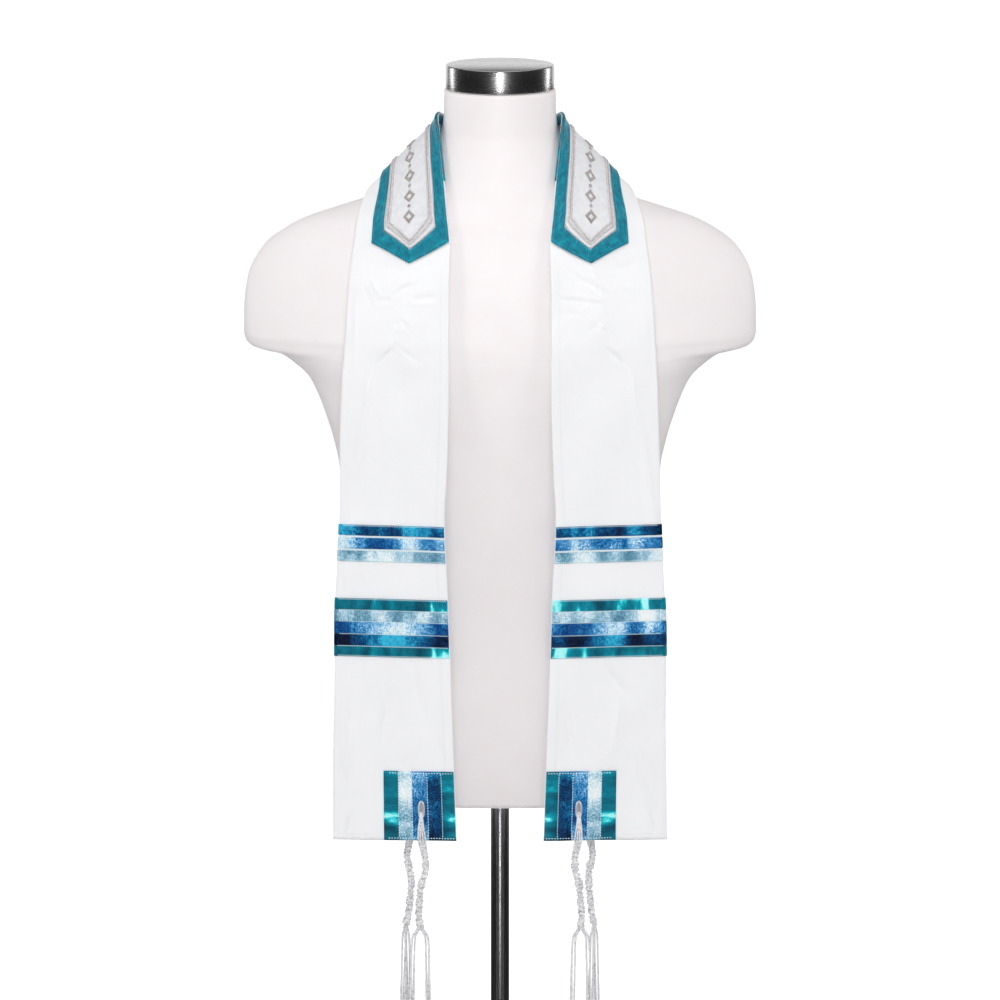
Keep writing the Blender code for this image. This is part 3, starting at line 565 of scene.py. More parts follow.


# Creases that the photo shows. Columns: the start's and the end's pixel column and row in the
# photo, and the half width and height in millimetres. A negative height is a trough.
PHOTO_CREASES = (
    (371, 369, 364, 420, 3.0, 1.5),
    (364, 420, 352, 500, 3.0, 1.7),
    (352, 500, 346, 560, 3.0, 1.1),
    (379, 380, 372, 430, 4.5, -0.8),
    (372, 430, 360, 510, 4.5, -0.8),
    (394, 295, 416, 282, 1.9, -1.1),
    (392, 291, 414, 278, 2.2, 0.7),
    (376, 302, 391, 299, 1.9, -0.9),
    (412, 299, 437, 297, 1.9, -0.9),
    (411, 304, 437, 303, 2.2, 0.6),
    (396, 326, 402, 321, 1.7, -1.1),
    (402, 321, 409, 327, 1.7, -0.9),
    (398, 330, 406, 331, 2.0, 0.7),
    (377, 364, 397, 345, 2.0, -1.3),
    (374, 360, 394, 341, 2.3, 0.7),
    (397, 345, 422, 365, 2.0, -0.7),
    (370, 276, 381, 296, 2.0, 0.8),
    (364, 284, 372, 306, 2.0, -0.7),
    (352, 290, 350, 370, 2.2, -0.7),
    (357, 300, 354, 372, 2.2, 0.6),
    (424, 268, 441, 262, 2.0, -0.7),
    (383, 276, 398, 268, 2.0, 0.6),
    (427, 388, 440, 378, 2.0, -0.5),
    (340, 578, 344, 585, 1.8, -1.0),
    (350, 589, 436, 587, 2.4, 0.45),
    (419, 752, 396, 766, 2.0, -0.8),
    (424, 756, 402, 770, 2.2, 0.5),
    (351, 812, 345, 835, 2.0, -0.8),
    (440, 742, 447, 762, 2.0, -0.7),
    (388, 690, 379, 745, 3.4, -0.7),
    (353, 700, 347, 790, 3.4, 0.7),
    (415, 672, 424, 716, 3.0, -0.5),
    (570, 272, 607, 296, 2.1, -1.4),
    (574, 268, 610, 291, 2.4, 0.8),
    (560, 299, 605, 304, 2.0, -1.0),
    (561, 295, 603, 299, 2.2, 0.6),
    (585, 331, 599, 324, 1.8, -0.9),
    (599, 324, 608, 328, 1.9, 1.2),
    (605, 346, 625, 366, 2.1, -1.5),
    (609, 342, 629, 362, 2.4, 0.8),
    (631, 370, 635, 402, 3.0, 1.5),
    (635, 402, 645, 445, 3.0, 1.6),
    (645, 445, 652, 500, 3.0, 1.6),
    (652, 500, 656, 545, 3.0, 1.0),
    (624, 380, 637, 450, 4.5, -0.8),
    (637, 450, 645, 515, 4.5, -0.7),
    (612, 270, 638, 262, 2.0, -0.8),
    (588, 262, 598, 284, 2.0, 0.8),
    (618, 280, 636, 296, 2.0, 0.7),
    (561, 313, 590, 315, 2.2, -0.6),
    (652, 300, 656, 390, 2.2, -0.6),
    (566, 352, 576, 372, 2.4, -0.4),
    (562, 586, 640, 590, 2.4, 0.45),
    (601, 664, 634, 700, 2.2, -0.5),
    (634, 740, 652, 800, 3.2, 0.8),
    (566, 700, 572, 752, 3.0, -0.6),
    (618, 700, 612, 750, 3.4, 0.6),
    (648, 806, 655, 834, 2.0, -0.8),
)
# Creases behind the neck, alike on both halves. Columns: length from the nape and share of the width at the
# start and at the end, half width and height in metres.
NAPE_CREASES = (
    (0.016, 0.02, 0.022, 0.60, 0.0050, -0.0012),
    (0.036, 0.02, 0.046, 0.48, 0.0045, 0.0010),
    (0.058, 0.02, 0.070, 0.66, 0.0050, -0.0013),
    (0.082, 0.04, 0.092, 0.50, 0.0045, 0.0010),
    (0.108, 0.04, 0.112, 0.44, 0.0050, -0.0009),
    (0.028, 0.96, 0.030, 0.62, 0.0060, 0.0010),
    (0.074, 0.98, 0.076, 0.70, 0.0060, -0.0010),
)
CLOTH_WIDTH = 0.108
CREASE_GAIN = 1.25
LOW_CREASE_GAIN = 3.4
HEM_SHARE = 0.088
HEM_DEPTH = 0.0068
HEM_RISE = 0.0004
HEM_FROM = 0.34
NECK_SINK = 0.0017
crease_lines = [(0, *line) for line in NAPE_CREASES]
for first_column, first_row, last_column, last_row, half, rise in PHOTO_CREASES:
    crease_lines.append((np.sign(first_column - PHOTO_MIDDLE), *cloth_place(first_column, first_row),
                         *cloth_place(last_column, last_row), half / 1000, rise / 1000))


def crease_rise(along, share):
    """Height of the soft troughs and ridges at points of the front layer."""
    rise = np.zeros(np.broadcast(along, share).shape)
    for side, a0, s0, a1, s1, half, height in crease_lines:
        u = np.abs(along) - a0
        v = (share - s0) * CLOTH_WIDTH
        du, dv = a1 - a0, (s1 - s0) * CLOTH_WIDTH
        t = np.clip((u * du + v * dv) / (du * du + dv * dv), 0.0, 1.0)
        wander = 0.22 * half * np.sin(9.0 * t + 40.0 * s0)
        away = np.hypot(u - t * du + wander, v - t * dv)
        fade = np.sin(math.pi * np.clip(0.08 + 0.84 * t, 0.0, 1.0))
        there = 1.0 if side == 0 else (np.sign(along) == side)
        rise = rise + there * height * fade * np.exp(-(away / half) ** 2)
    run = np.abs(along)
    slow = 0.0011 * np.sin(29.0 * along + 5.0 * share) * np.sin(3.6 * share + 11.0 * along)
    low = ease(run_at(0.63), run_at(0.58), run)
    rise = rise * (CREASE_GAIN + (LOW_CREASE_GAIN - CREASE_GAIN) * low) + slow * ease(0.20, 0.40, run)
    side_hem = (1 - ease(HEM_SHARE - 0.006, HEM_SHARE, share)) * ease(HEM_FROM, HEM_FROM + 0.04, run)
    end_hem = ease(HALF_LENGTH - HEM_DEPTH, HALF_LENGTH - HEM_DEPTH + 0.0008, run)
    return rise + HEM_RISE * np.maximum(side_hem, end_hem)


def front_face(along, share, offset=0.0, creased=True):
    """Points of the front layer's outer face, moved out; along is negative on the viewer's left."""
    along, share, offset = np.broadcast_arrays(*(np.asarray(v, dtype=float) for v in (along, share, offset)))
    normal = unit(read_drape(drape_out, along, share))
    sink = NECK_SINK * (1 - ease(0.20, 0.30, np.abs(along))) * (1 - ease(0.0, 0.5, share))
    lift = offset + (crease_rise(along, share) - sink) * (1.0 if creased else 0.0)
    point = read_drape(drape, along, share) + normal * lift[..., None]
    point[..., 0] *= np.where(along < 0, -1.0, 1.0)
    return point


def back_face(along, share, offset=0.0):
    """Points of the back layer's outer face, that looks at the form, moved out."""
    along, share, offset = np.broadcast_arrays(*(np.asarray(v, dtype=float) for v in (along, share, offset)))
    height = read_drape(drape, along, share)[..., 2]
    return front_face(along, share, -stack_depth(height, share) - offset, creased=False)


def fold_face(along, degrees, offset=0.0):
    """Points round the outer fold, from the front layer (0) to the back layer (180)."""
    along = np.asarray(along, dtype=float)
    front, back = front_face(along, 1.0), back_face(along, 1.0)
    outward = front - front_face(along, 0.94)
    centre, half = (front + back) / 2, (front - back) / 2
    radius = np.linalg.norm(half, axis=-1, keepdims=True)
    outward = unit(outward - half * (outward * half).sum(-1, keepdims=True) / radius ** 2)
    angle = math.radians(degrees)
    grow = (radius + offset) / radius
    return centre + half * grow * math.cos(angle) + outward * (radius + offset) * math.sin(angle)


def back_edge(along):
    low = ease(0.6, 1.0, np.abs(along) / HALF_LENGTH)
    return BACK_RECESS_NAPE + (BACK_RECESS_HEM - BACK_RECESS_NAPE) * low


FRONT_COLUMNS = 78
FOLD_COLUMNS = 5
BACK_COLUMNS = 14


def place_grid(across, along):
    """Places on the cloth in metres, for rows of points along it."""
    return np.stack(np.broadcast_arrays(across, along), axis=-1)


def wrapped(runs, offset, inner=0.0):
    """Rows of points round the whole folded section, with their place on the cloth in metres."""
    along = np.asarray(runs, dtype=float)[:, None]
    shares = np.linspace(0.0, 1.0, FRONT_COLUMNS)
    shares[0] = inner
    degrees = np.linspace(0, 180, FOLD_COLUMNS + 2)[1:-1]
    edge = np.maximum(back_edge(along) + COLLAR_RECESS * (1 - ease(0.20, 0.34, np.abs(along))), inner)
    returning = 1.0 - (1.0 - edge) * np.linspace(0, 1, BACK_COLUMNS)
    folded = np.stack([fold_face(along[:, 0], turn, offset) for turn in degrees], axis=1)
    rows = (front_face(along, shares, offset), folded, back_face(along, returning, offset))
    across = (shares * CLOTH_WIDTH, CLOTH_WIDTH + FOLD_WIDTH * degrees / 180,
              2 * CLOTH_WIDTH + FOLD_WIDTH - returning * CLOTH_WIDTH)
    places = [place_grid(part, along) for part in across]
    return np.concatenate(rows, axis=1), np.concatenate(places, axis=1)


def apply_modifier(piece, kind, **settings):
    bpy.ops.object.select_all(action="DESELECT")
    bpy.context.view_layer.objects.active = piece
    piece.select_set(True)
    modifier = piece.modifiers.new("change", kind)
    for key, value in settings.items():
        setattr(modifier, key, value)
    bpy.ops.object.modifier_apply(modifier="change")


def thicken(piece, thickness):
    """Gives a sheet its thickness, inwards from its face."""
    apply_modifier(piece, "SOLIDIFY", thickness=thickness, offset=-1.0, use_even_offset=True)


def sheet_piece(name, grid, places, probe, outwards, wall):
    """A thin sheet with its face outwards at a probe point, and its thickness inwards from there."""
    piece = grid_piece(name, grid, places)
    face_out(piece, probe, outwards)
    thicken(piece, wall)
    return piece


# The cloth is fine plain weave: warp and weft threads on the cloth's own place, with slubs and soft tones.
WHITE = (0.925, 0.928, 0.945)
WHITE_SHADE = (0.900, 0.903, 0.926)
THREADS = 2200.0
white_cloth, tree, shader = new_material("white_cloth", WHITE, 0.82, sheen=0.25)
place = add_node(tree, "TexCoord")
parts = add_node(tree, "SeparateXYZ", place.outputs["UV"])
waves = []
for axis in ("X", "Y"):
    turns = add_node(tree, "Math", parts.outputs[axis], THREADS, operation="MULTIPLY")
    waves.append(add_node(tree, "Math", turns.outputs[0], operation="SINE").outputs[0])
crossing = add_node(tree, "Math", *waves, operation="MULTIPLY")
slub = add_node(tree, "TexNoise", place.outputs["UV"], Scale=260.0, Detail=2.0)
total = add_node(tree, "Math", crossing.outputs[0], slub.outputs["Fac"], operation="ADD")
add_bump(tree, shader, total.outputs[0], 0.00012, 0.6)
cloud = add_node(tree, "TexNoise", place.outputs["UV"], Scale=14.0, Detail=3.0)
feed(shader, Base_Color=colour_ramp(tree, cloud.outputs["Fac"], ((0.3, WHITE_SHADE), (0.7, WHITE))))
CLOTH_ROWS = 481
spread_runs = np.linspace(0, HALF_LENGTH, 400)
below_neck = ease(run_at(0.95), run_at(0.92), spread_runs)
closeness = 1 + 1.7 * below_neck * (1 - ease(run_at(0.83), run_at(0.79), spread_runs))
closeness = np.concatenate(((0,), np.cumsum((closeness[1:] + closeness[:-1]) / 2)))
half_runs = np.interp(np.linspace(0, closeness[-1], CLOTH_ROWS // 2 + 1), closeness, spread_runs)
cloth_runs = np.concatenate((-half_runs[:0:-1], half_runs))
cloth_grid, cloth_places = wrapped(cloth_runs, 0.0)
shawl = sheet_piece("shawl", cloth_grid, cloth_places, (0.10, -0.3, 0.75), (0, -1, 0), WALL)
keep(shawl, "shawl_cloth", white_cloth)

# Between the front and back layers lie the two inner layers of the fold. Only their edges show, as soft
# rounded lips inside the open edge and at the hem.
HIDDEN_RECESS = 0.030
HIDDEN_COLLAR_RECESS = 0.05
HIDDEN_CLEARANCE = 0.00005
LIP_ROUNDING = 0.22
hidden_runs = np.linspace(-HALF_LENGTH + 0.0006, HALF_LENGTH - 0.0006, 260)[:, None]
hidden_recess = HIDDEN_RECESS + HIDDEN_COLLAR_RECESS * (1 - ease(0.20, 0.34, np.abs(hidden_runs)))
hidden_shares = hidden_recess + (1.0 - hidden_recess) * np.linspace(0.0, 1.0, 18)[None, :]
hidden_heights = read_drape(drape, *np.broadcast_arrays(hidden_runs, hidden_shares))[..., 2]
hidden_near = WALL + layer_gap(hidden_heights, hidden_shares) + HIDDEN_CLEARANCE
hidden_front = front_face(hidden_runs, hidden_shares, -hidden_near)
hidden_back = back_face(hidden_runs, hidden_shares, -hidden_near)
hidden_end = fold_face(hidden_runs[:, 0], 90.0, -WALL - LAYER_GAP)[:, None]
back_lip, front_lip = hidden_back[:, :1], hidden_front[:, :1]
lip_middle = (front_lip + back_lip) / 2
lip_out = (front_lip - hidden_front[:, 1:2]) * LIP_ROUNDING
lips = [lip * share + lip_middle * (1 - share) + lip_out * out
        for lip, share, out in ((back_lip, 0.8, 1.0), (back_lip, 0.35, 1.0), (back_lip, 0.0, -1.2),
                                (front_lip, 0.35, 1.0), (front_lip, 0.8, 1.0))]
hidden_grid = np.concatenate((hidden_front, hidden_end, hidden_back[:, ::-1], *lips), axis=1)
hidden = grid_piece("shawl_inner_layers", hidden_grid, hidden_grid[..., (0, 2)], closed=True)
face_out(hidden, (0.10, -0.3, 0.75), (0, -1, 0))
keep(hidden, "shawl_hidden_layers", white_cloth)


def keep_trim(piece, node, material):
    keep(piece, node, material)


def joined_tubes(name, grids):
    """One mesh from many closed tubes; each grid holds rings of points and gets a cap at both ends."""
    faces, base = [], 0
    for grid in grids:
        count, width = grid.shape[:2]
        faces += strip_faces(count, width, True, base) + cap_faces(count, width, base)
        base += count * width
    return mesh_piece(name, np.concatenate([grid.reshape(-1, 3) for grid in grids]), faces, turn_out=True)


def read_line(values, run, at):
    """Rows of a table read at given lengths."""
    return np.stack([np.interp(at, run, column) for column in np.transpose(values)], axis=1)


# Columns: share of a stitch's length, how far its thread sinks and how thick it is, in parts of the thread.
STITCH_RINGS = ((0.0, 0.5, 0.5), (0.22, -0.25, 1.0), (0.5, -0.35, 1.0), (0.78, -0.25, 1.0), (1.0, 0.5, 0.5))


def thread_bars(name, starts, ends, outs, material, thick, slot, arch=0.0):
    """Short threads from start to end points, arched outwards, in one mesh."""
    starts, ends, outs = (np.asarray(v, dtype=float).reshape(-1, 3) for v in (starts, ends, outs))
    ahead = ends - starts
    sides = unit(np.cross(ahead, outs))
    rings = []
    for share, sink, size in STITCH_RINGS:
        middle = starts + ahead * share - outs * (thick * sink - arch * 4 * share * (1 - share))
        rings.append(np.stack([middle + (sides * math.cos(a) + outs * math.sin(a)) * (thick / 2 * size)
                               for a in np.arange(5) * 2 * math.pi / 5 + 0.3], axis=1))
    keep_trim(joined_tubes(name, np.stack(rings, axis=1)), None, material)


def stitched(name, lines, material, thick, length, pitch, slot, across=0.0):
    """Running stitches on lines of (points, normals); with a width across, they slant over the line."""
    starts, ends, outs = [], [], []
    for points, normals in lines:
        run = run_along(points)
        at = np.arange(pitch * 0.4, run[-1] - length, pitch)
        first, second = read_line(points, run, at), read_line(points, run, at + length)
        outs.append(read_line(normals, run, at + length / 2))
        side = unit(np.cross(second - first, outs[-1])) * across / 2
        starts.append(first - side)
        ends.append(second + side)
    thread_bars(name, *(np.concatenate(v) for v in (starts, ends, outs)), material, thick, slot)


def face_line(reader, along, share, offset):
    """A line of points on a face with its outward normals."""
    points = reader(along, share, offset)
    return points, unit(reader(along, share, offset + 0.001) - points)


white_thread = new_material("white_thread", (0.80, 0.81, 0.83), 0.6)[0]
hem_lines = []
for sign in (-1, 1):
    down = np.linspace(run_at(0.925), HALF_LENGTH - 0.001, 200) * sign
    hem_lines.append(face_line(front_face, down, 0.080, 0.0))
    hem_lines.append(face_line(front_face, (HALF_LENGTH - 0.006) * sign, np.linspace(0.64, 0.985, 40), 0.0))
stitched("hem_stitching", hem_lines, white_thread, 0.00045, 0.0019, 0.0027, "white_cloth")

# The neckband is a white satin panel in a teal satin border with pointed ends. Two fine silver cords are sewn
# round the panel, and a row of plain embroidered lozenges runs down its middle. Its edges are turned under.
TRIM_WALL = 0.0010
PANEL_WALL = 0.0009
SHEET_WALL = 0.0003
NECKBAND_GAP = 0.0012
NECKBAND_CORNER_Z = 0.9465
NECKBAND_TIP_Z = 0.9275
NECKBAND_SHARE = 0.82
BORDER_SHARE = 0.13
BORDER_END = 0.013
NECKBAND_SEAM_SHARE = 0.009
NECKBAND_SEAM_END = 0.0009


def srgb(*levels):
    """A colour's linear values from its usual red, green and blue levels of 0 to 255."""
    return tuple(((v / 255 + 0.055) / 1.055) ** 2.4 if v > 10 else v / 255 / 12.92 for v in levels)


def neckband_end(share, low, high, end_inset):
    """Length from the nape of the pointed end, at a share of the width."""
    corner = run_at(NECKBAND_CORNER_Z) - end_inset
    tip = run_at(NECKBAND_TIP_Z) - end_inset
    return tip + (corner - tip) * np.abs(share - (low + high) / 2) / (high - low) * 2


def neckband_outline(inset_share, end_inset):
    """Closed outline of the neckband moved in from its edges: lengths from the nape and shares."""
    low, high = inset_share, NECKBAND_SHARE - inset_share
    corner = run_at(NECKBAND_CORNER_Z) - end_inset
    sides = np.linspace(-corner, corner, 281)[:-1]
    shares = np.linspace(low, high, 29)[:-1]
    ends = neckband_end(shares, low, high, end_inset)
    back_ends = neckband_end(high + low - shares, low, high, end_inset)
    along = np.concatenate((sides, ends, -sides, -back_ends))
    share = np.concatenate((np.full_like(sides, low), shares, np.full_like(sides, high), high + low - shares))
    return along, share


def ring_band(name, outer, inner, lift, thickness, columns):
    """A closed band between two outlines, with rounded edges; it goes round in both directions."""
    (a0, s0), (a1, s1) = outer, inner
    steps = np.linspace(0, 1, columns)
    rounding = 1 - np.abs(2 * steps - 1) ** 8
    turned = [(u, lift + thickness * (0.45 + 0.55 * r)) for u, r in zip(steps, rounding)]
    turned += [(u, lift + thickness * 0.45 * (1 - r)) for u, r in zip(steps[::-1], rounding[::-1])]
    grid = np.stack([front_face(a0 + (a1 - a0) * u, s0 + (s1 - s0) * u, rise) for u, rise in turned], axis=1)
    grid = np.concatenate((grid, grid[:1]), axis=0)
    run = run_along(grid[:, 0])
    width = np.linalg.norm(grid[0, columns - 1] - grid[0, 0])
    across = np.array([u * width for u, _ in turned])
    places = place_grid(across, run[:, None]).reshape(-1, 2)
    quads = np.array(strip_faces(*grid.shape[:2], closed=True))
    once = grid[:-1].reshape(-1, 3)
    return mesh_piece(name, once, (quads % len(once)).tolist(), places[quads], turn_out=True)


# Long satin floats in rows, and slow soft ripples. The ripples' tone is painted sheen: lighter on their
# crests and darker in their hollows, over the satin's own colour.
satin_floats_and_painted_sheen, _, end = node_group("satin_floats_and_painted_sheen", (), ("Height", "Tone"))
place = add_node(satin_floats_and_painted_sheen, "TexCoord")
stretch = add_node(satin_floats_and_painted_sheen, "Mapping", place.outputs["UV"], Scale=(1.0, 0.12, 1.0))
floats = add_node(satin_floats_and_painted_sheen, "TexNoise", stretch.outputs["Vector"], Scale=2600.0, Detail=2.0)
slow = add_node(satin_floats_and_painted_sheen, "TexNoise", place.outputs["UV"], Scale=130.0, Detail=5.0, Roughness=0.68)
feed(end, Height=floats.outputs["Fac"], Tone=slow.outputs["Fac"])


def satin_material(name, stops, roughness, sheen):
    made, tree, shader = new_material(name, stops[-1][1], roughness, sheen=sheen)
    satin = add_node(tree, "Group", node_tree=satin_floats_and_painted_sheen)
    # Painted sheen: the ripples' crests are lighter and their hollows darker in the base colour.
    feed(shader, Base_Color=colour_ramp(tree, satin.outputs["Tone"], stops))
    fine = add_bump(tree, shader, satin.outputs["Height"], 0.00006, 0.5)
    soft = add_node(tree, "Bump", Height=satin.outputs["Tone"], Strength=0.8, Distance=0.0016)
    feed(fine, Normal=soft.outputs["Normal"])
    return made


TEAL_PAINTED_SHEEN_TONES = ((0.30, srgb(0, 94, 118)), (0.50, srgb(0, 126, 149)), (0.72, srgb(6, 166, 185)))
teal_satin = satin_material("teal_satin", TEAL_PAINTED_SHEEN_TONES, 0.34, 0.0)
band_outer, band_inner = neckband_outline(0.003, 0.0), neckband_outline(BORDER_SHARE, BORDER_END)
border = ring_band("neckband_teal_border", band_outer, band_inner, NECKBAND_GAP, TRIM_WALL, 9)
keep_trim(border, "neckband_border", teal_satin)

# Over the nape the border is turned round the cloth's inner edge and onto its back.
EDGE_POINTS = 9
edge_runs = np.linspace(-run_at(0.985), run_at(0.985), 220)
edge_front = front_face(edge_runs, 0.004, NECKBAND_GAP * 0.6)
edge_back = back_face(edge_runs, 0.10)
edge_middle, edge_half = (edge_front + edge_back) / 2, (edge_front - edge_back) / 2
edge_swell = 0.0013 + 0.0022 * ease(0.93, 0.99, edge_front[:, 2:])
edge_out = unit(front_face(edge_runs, 0.0) - front_face(edge_runs, 0.05)) * edge_swell
edge_turns = np.radians(np.linspace(4, 176, EDGE_POINTS))[None, :, None]
edge_grid = edge_half[:, None] * np.cos(edge_turns) + edge_out[:, None] * np.sin(edge_turns)
edge_grid = edge_middle[:, None] + edge_grid
edge_places = place_grid(np.linspace(0, 0.009, EDGE_POINTS), edge_runs[:, None])
edge_name, edge_probe = "neckband_turned_edge", (0.05, -0.2, 1.05)
turned_edge = sheet_piece(edge_name, edge_grid, edge_places, edge_probe, (-1, 0, 0.3), SHEET_WALL)
keep_trim(turned_edge, None, teal_satin)

PANEL_PAINTED_SHEEN_TONES = ((0.3, srgb(222, 223, 227)), (0.7, srgb(238, 238, 241)))
panel_satin = satin_material("white_satin", PANEL_PAINTED_SHEEN_TONES, 0.42, 0.2)
panel_low = BORDER_SHARE + NECKBAND_SEAM_SHARE
panel_high = NECKBAND_SHARE - panel_low
panel_shares = np.linspace(panel_low, panel_high, 22)
panel_ends = neckband_end(panel_shares, panel_low, panel_high, BORDER_END + NECKBAND_SEAM_END)
panel_runs = panel_ends * np.linspace(-1, 1, 241)[:, None]
panel_grid = front_face(panel_runs, panel_shares, NECKBAND_GAP + PANEL_WALL)
panel_places = place_grid(panel_shares * CLOTH_WIDTH, panel_runs)
panel_name, panel_probe = "neckband_white_panel", (0.08, -0.2, 0.96)
panel = sheet_piece(panel_name, panel_grid, panel_places, panel_probe, (0, -1, 0.3), PANEL_WALL)
keep_trim(panel, "neckband_panel", panel_satin)

# The twist and the flecks of silver thread. Turns is the twist's angle for each metre of the cord.
thread_twist, start, end = node_group("thread_twist", ("Turns",), ("Height", "Fleck"))
place = add_node(thread_twist, "TexCoord")
parts = add_node(thread_twist, "SeparateXYZ", place.outputs["Object"])
total = add_node(thread_twist, "Math", parts.outputs["X"], parts.outputs["Z"], operation="ADD")
turns = add_node(thread_twist, "Math", total.outputs[0], start.outputs["Turns"], operation="MULTIPLY")
wave = add_node(thread_twist, "Math", turns.outputs[0], operation="SINE")
fleck = add_node(thread_twist, "TexNoise", place.outputs["Object"], Scale=420.0, Detail=2.0)
feed(end, Height=wave.outputs[0], Fleck=fleck.outputs["Fac"])


def silver_thread(name, colour, pitch):
    """Thread with a visible twist, once round in each pitch."""
    made, tree, shader = new_material(name, colour, 0.38, metallic=0.05)
    twist = add_node(tree, "Group", node_tree=thread_twist, Turns=2 * math.pi / pitch)
    add_bump(tree, shader, twist.outputs["Height"], 0.00010, 0.6)
    dark = tuple(v * 0.80 for v in colour)
    feed(shader, Base_Color=colour_ramp(tree, twist.outputs["Fleck"], ((0.38, dark), (0.62, colour))))
    return made


def path_sides(points, reference):
    """Two directions square to a path at each of its points."""
    tangent = unit(np.gradient(points, axis=0))
    side = unit(np.cross(tangent, np.broadcast_to(reference, tangent.shape)))
    return side, np.cross(side, tangent)


def sweep(points, radius, sides, reference):
    """Rings of points round a path; the reference is a direction that the path never takes."""
    side, up = path_sides(points, reference)
    angles = np.arange(sides) * 2 * math.pi / sides
    radius = np.broadcast_to(radius, (len(points),))[:, None, None]
    return points[:, None] + radius * (side[:, None] * np.cos(angles)[None, :, None]
                                       + up[:, None] * np.sin(angles)[None, :, None])


silver_cord = silver_thread("silver_braid", srgb(224, 219, 219), 0.0011)
CORD_HALF_WIDTH = 0.00095
CORD_HALF_HEIGHT = 0.00075
cord_grids = []
for share, end in ((0.165, 0.0180), (0.192, 0.0213)):
    along, shares = neckband_outline(share, end)
    along, shares = np.append(along, along[:2]), np.append(shares, shares[:2])
    points, normals = face_line(front_face, along, shares, NECKBAND_GAP + TRIM_WALL + 0.0007)
    side = np.cross(unit(np.gradient(points, axis=0)), normals)
    angles = np.arange(8) * math.pi / 4
    cord_grids.append(points[:, None] + side[:, None] * (CORD_HALF_WIDTH * np.cos(angles))[None, :, None]
                      + normals[:, None] * (CORD_HALF_HEIGHT * np.sin(angles))[None, :, None])
cords = joined_tubes("neckband_silver_cords", cord_grids)
keep_trim(cords, "neckband_outline", silver_cord)

# Each lozenge is satin stitch: threads laid side by side from edge to edge, over a soft middle ridge.
ornament_thread = silver_thread("ornament_thread", srgb(198, 190, 186), 0.0009)
LOZENGE_PITCH = 0.0235
LOZENGE_HALF_LENGTH = 0.0078
LOZENGE_HALF_WIDTH = 0.0072
LOZENGE_HOLE_LENGTH = 0.0035
LOZENGE_HOLE_WIDTH = 0.0030
DOT_RADIUS = 0.0020
THREAD_STEP = 0.00042
SHORTEST_THREAD = 0.0007
middle_share = NECKBAND_SHARE / 2
threads = []
for number in range(-11, 12):
    for shape, centre in (("lozenge", number * LOZENGE_PITCH), ("dot", (number + 0.5) * LOZENGE_PITCH)):
        if abs(centre) > run_at(NECKBAND_CORNER_Z) - 0.020:
            continue
        half_length = LOZENGE_HALF_LENGTH if shape == "lozenge" else DOT_RADIUS
        for step in np.arange(-half_length, half_length + 1e-6, THREAD_STEP):
            reach, hole = math.sqrt(max(half_length ** 2 - step ** 2, 0.0)), 0.0
            if shape == "lozenge":
                reach = LOZENGE_HALF_WIDTH * (1 - abs(step) / half_length)
                hole = LOZENGE_HOLE_WIDTH * max(0.0, 1 - abs(step) / LOZENGE_HOLE_LENGTH)
            for first, second in (((-reach, -hole), (hole, reach)) if hole > 0.0004 else ((-reach, reach),)):
                if second - first < SHORTEST_THREAD:
                    continue
                shares = middle_share + np.array((first, (first + second) / 2, second)) / CLOTH_WIDTH
                points, normals = face_line(front_face, centre + step, shares, NECKBAND_GAP + 0.0011)
                threads.append((points[0], points[2], normals[1]))
thread_bars("neckband_lozenges", *zip(*threads), ornament_thread, 0.00050, "silver_braid", 0.0004)
teal_thread = new_material("teal_thread", srgb(60, 176, 196), 0.45)[0]
edge_lines = []
for share, end in ((0.022, 0.0020), (BORDER_SHARE - 0.018, BORDER_END - 0.0020)):
    along, shares = neckband_outline(share, end)
    edge_lines.append(face_line(front_face, along, shares, NECKBAND_GAP + TRIM_WALL))
stitched("neckband_edge_stitching", edge_lines, teal_thread, 0.00038, 0.0018, 0.0025, "teal_satin")

# The stripes are ribbons of metallic lame, sewn flat across the cloth, three above and five below. Each goes
# round the outer fold onto the back layer. The stitches that hold them show between the ribbons.
TRIM_GAP = 0.0002
PATCH_GAP = 0.0004
RIBBON_WALL = 0.0005
SEAM_INSET = 0.0009
# Columns: colour, and height of the top and bottom edge.
UPPER_RIBBONS = (("navy", 0.6766, 0.6662), ("blue", 0.6641, 0.6534), ("silver", 0.6514, 0.6411))
LOWER_RIBBONS = (("teal", 0.6054, 0.5941), ("silver", 0.5940, 0.5830), ("blue", 0.5829, 0.5709),
                 ("navy", 0.5708, 0.5593), ("teal", 0.5592, 0.5490))
SIDES = (("left", -1), ("right", 1))
# Columns: place on the ramp from dark to light, and colour. The dark end is painted shade and the light end
# painted reflection and highlight, round the ribbon's own hue.
LAME_PAINTED_SHEEN_TONES = {
    "teal": ((0.0, (0, 76, 98)), (0.46, (0, 116, 138)), (0.76, (0, 150, 174)), (0.88, (50, 236, 240)),
             (1.0, (180, 255, 255))),
    "navy": ((0.0, (0, 10, 38)), (0.46, (0, 62, 114)), (0.80, (0, 122, 182)), (1.0, (60, 196, 232))),
    "blue": ((0.0, (0, 54, 118)), (0.38, (0, 110, 182)), (0.70, (100, 192, 240)), (1.0, (236, 252, 255))),
    "silver": ((0.0, (56, 100, 130)), (0.44, (116, 174, 202)), (0.78, (202, 234, 246)),
               (1.0, (248, 254, 255))),
}
# Size of the painted reflection zones, and strength of the painted glints.
PAINTED_SHEEN_ZONES = {"teal": 2.1, "navy": 1.0, "blue": 1.0, "silver": 1.15}
PAINTED_GLINTS = {"teal": 0.12, "navy": 0.50, "blue": 0.50, "silver": 0.42}
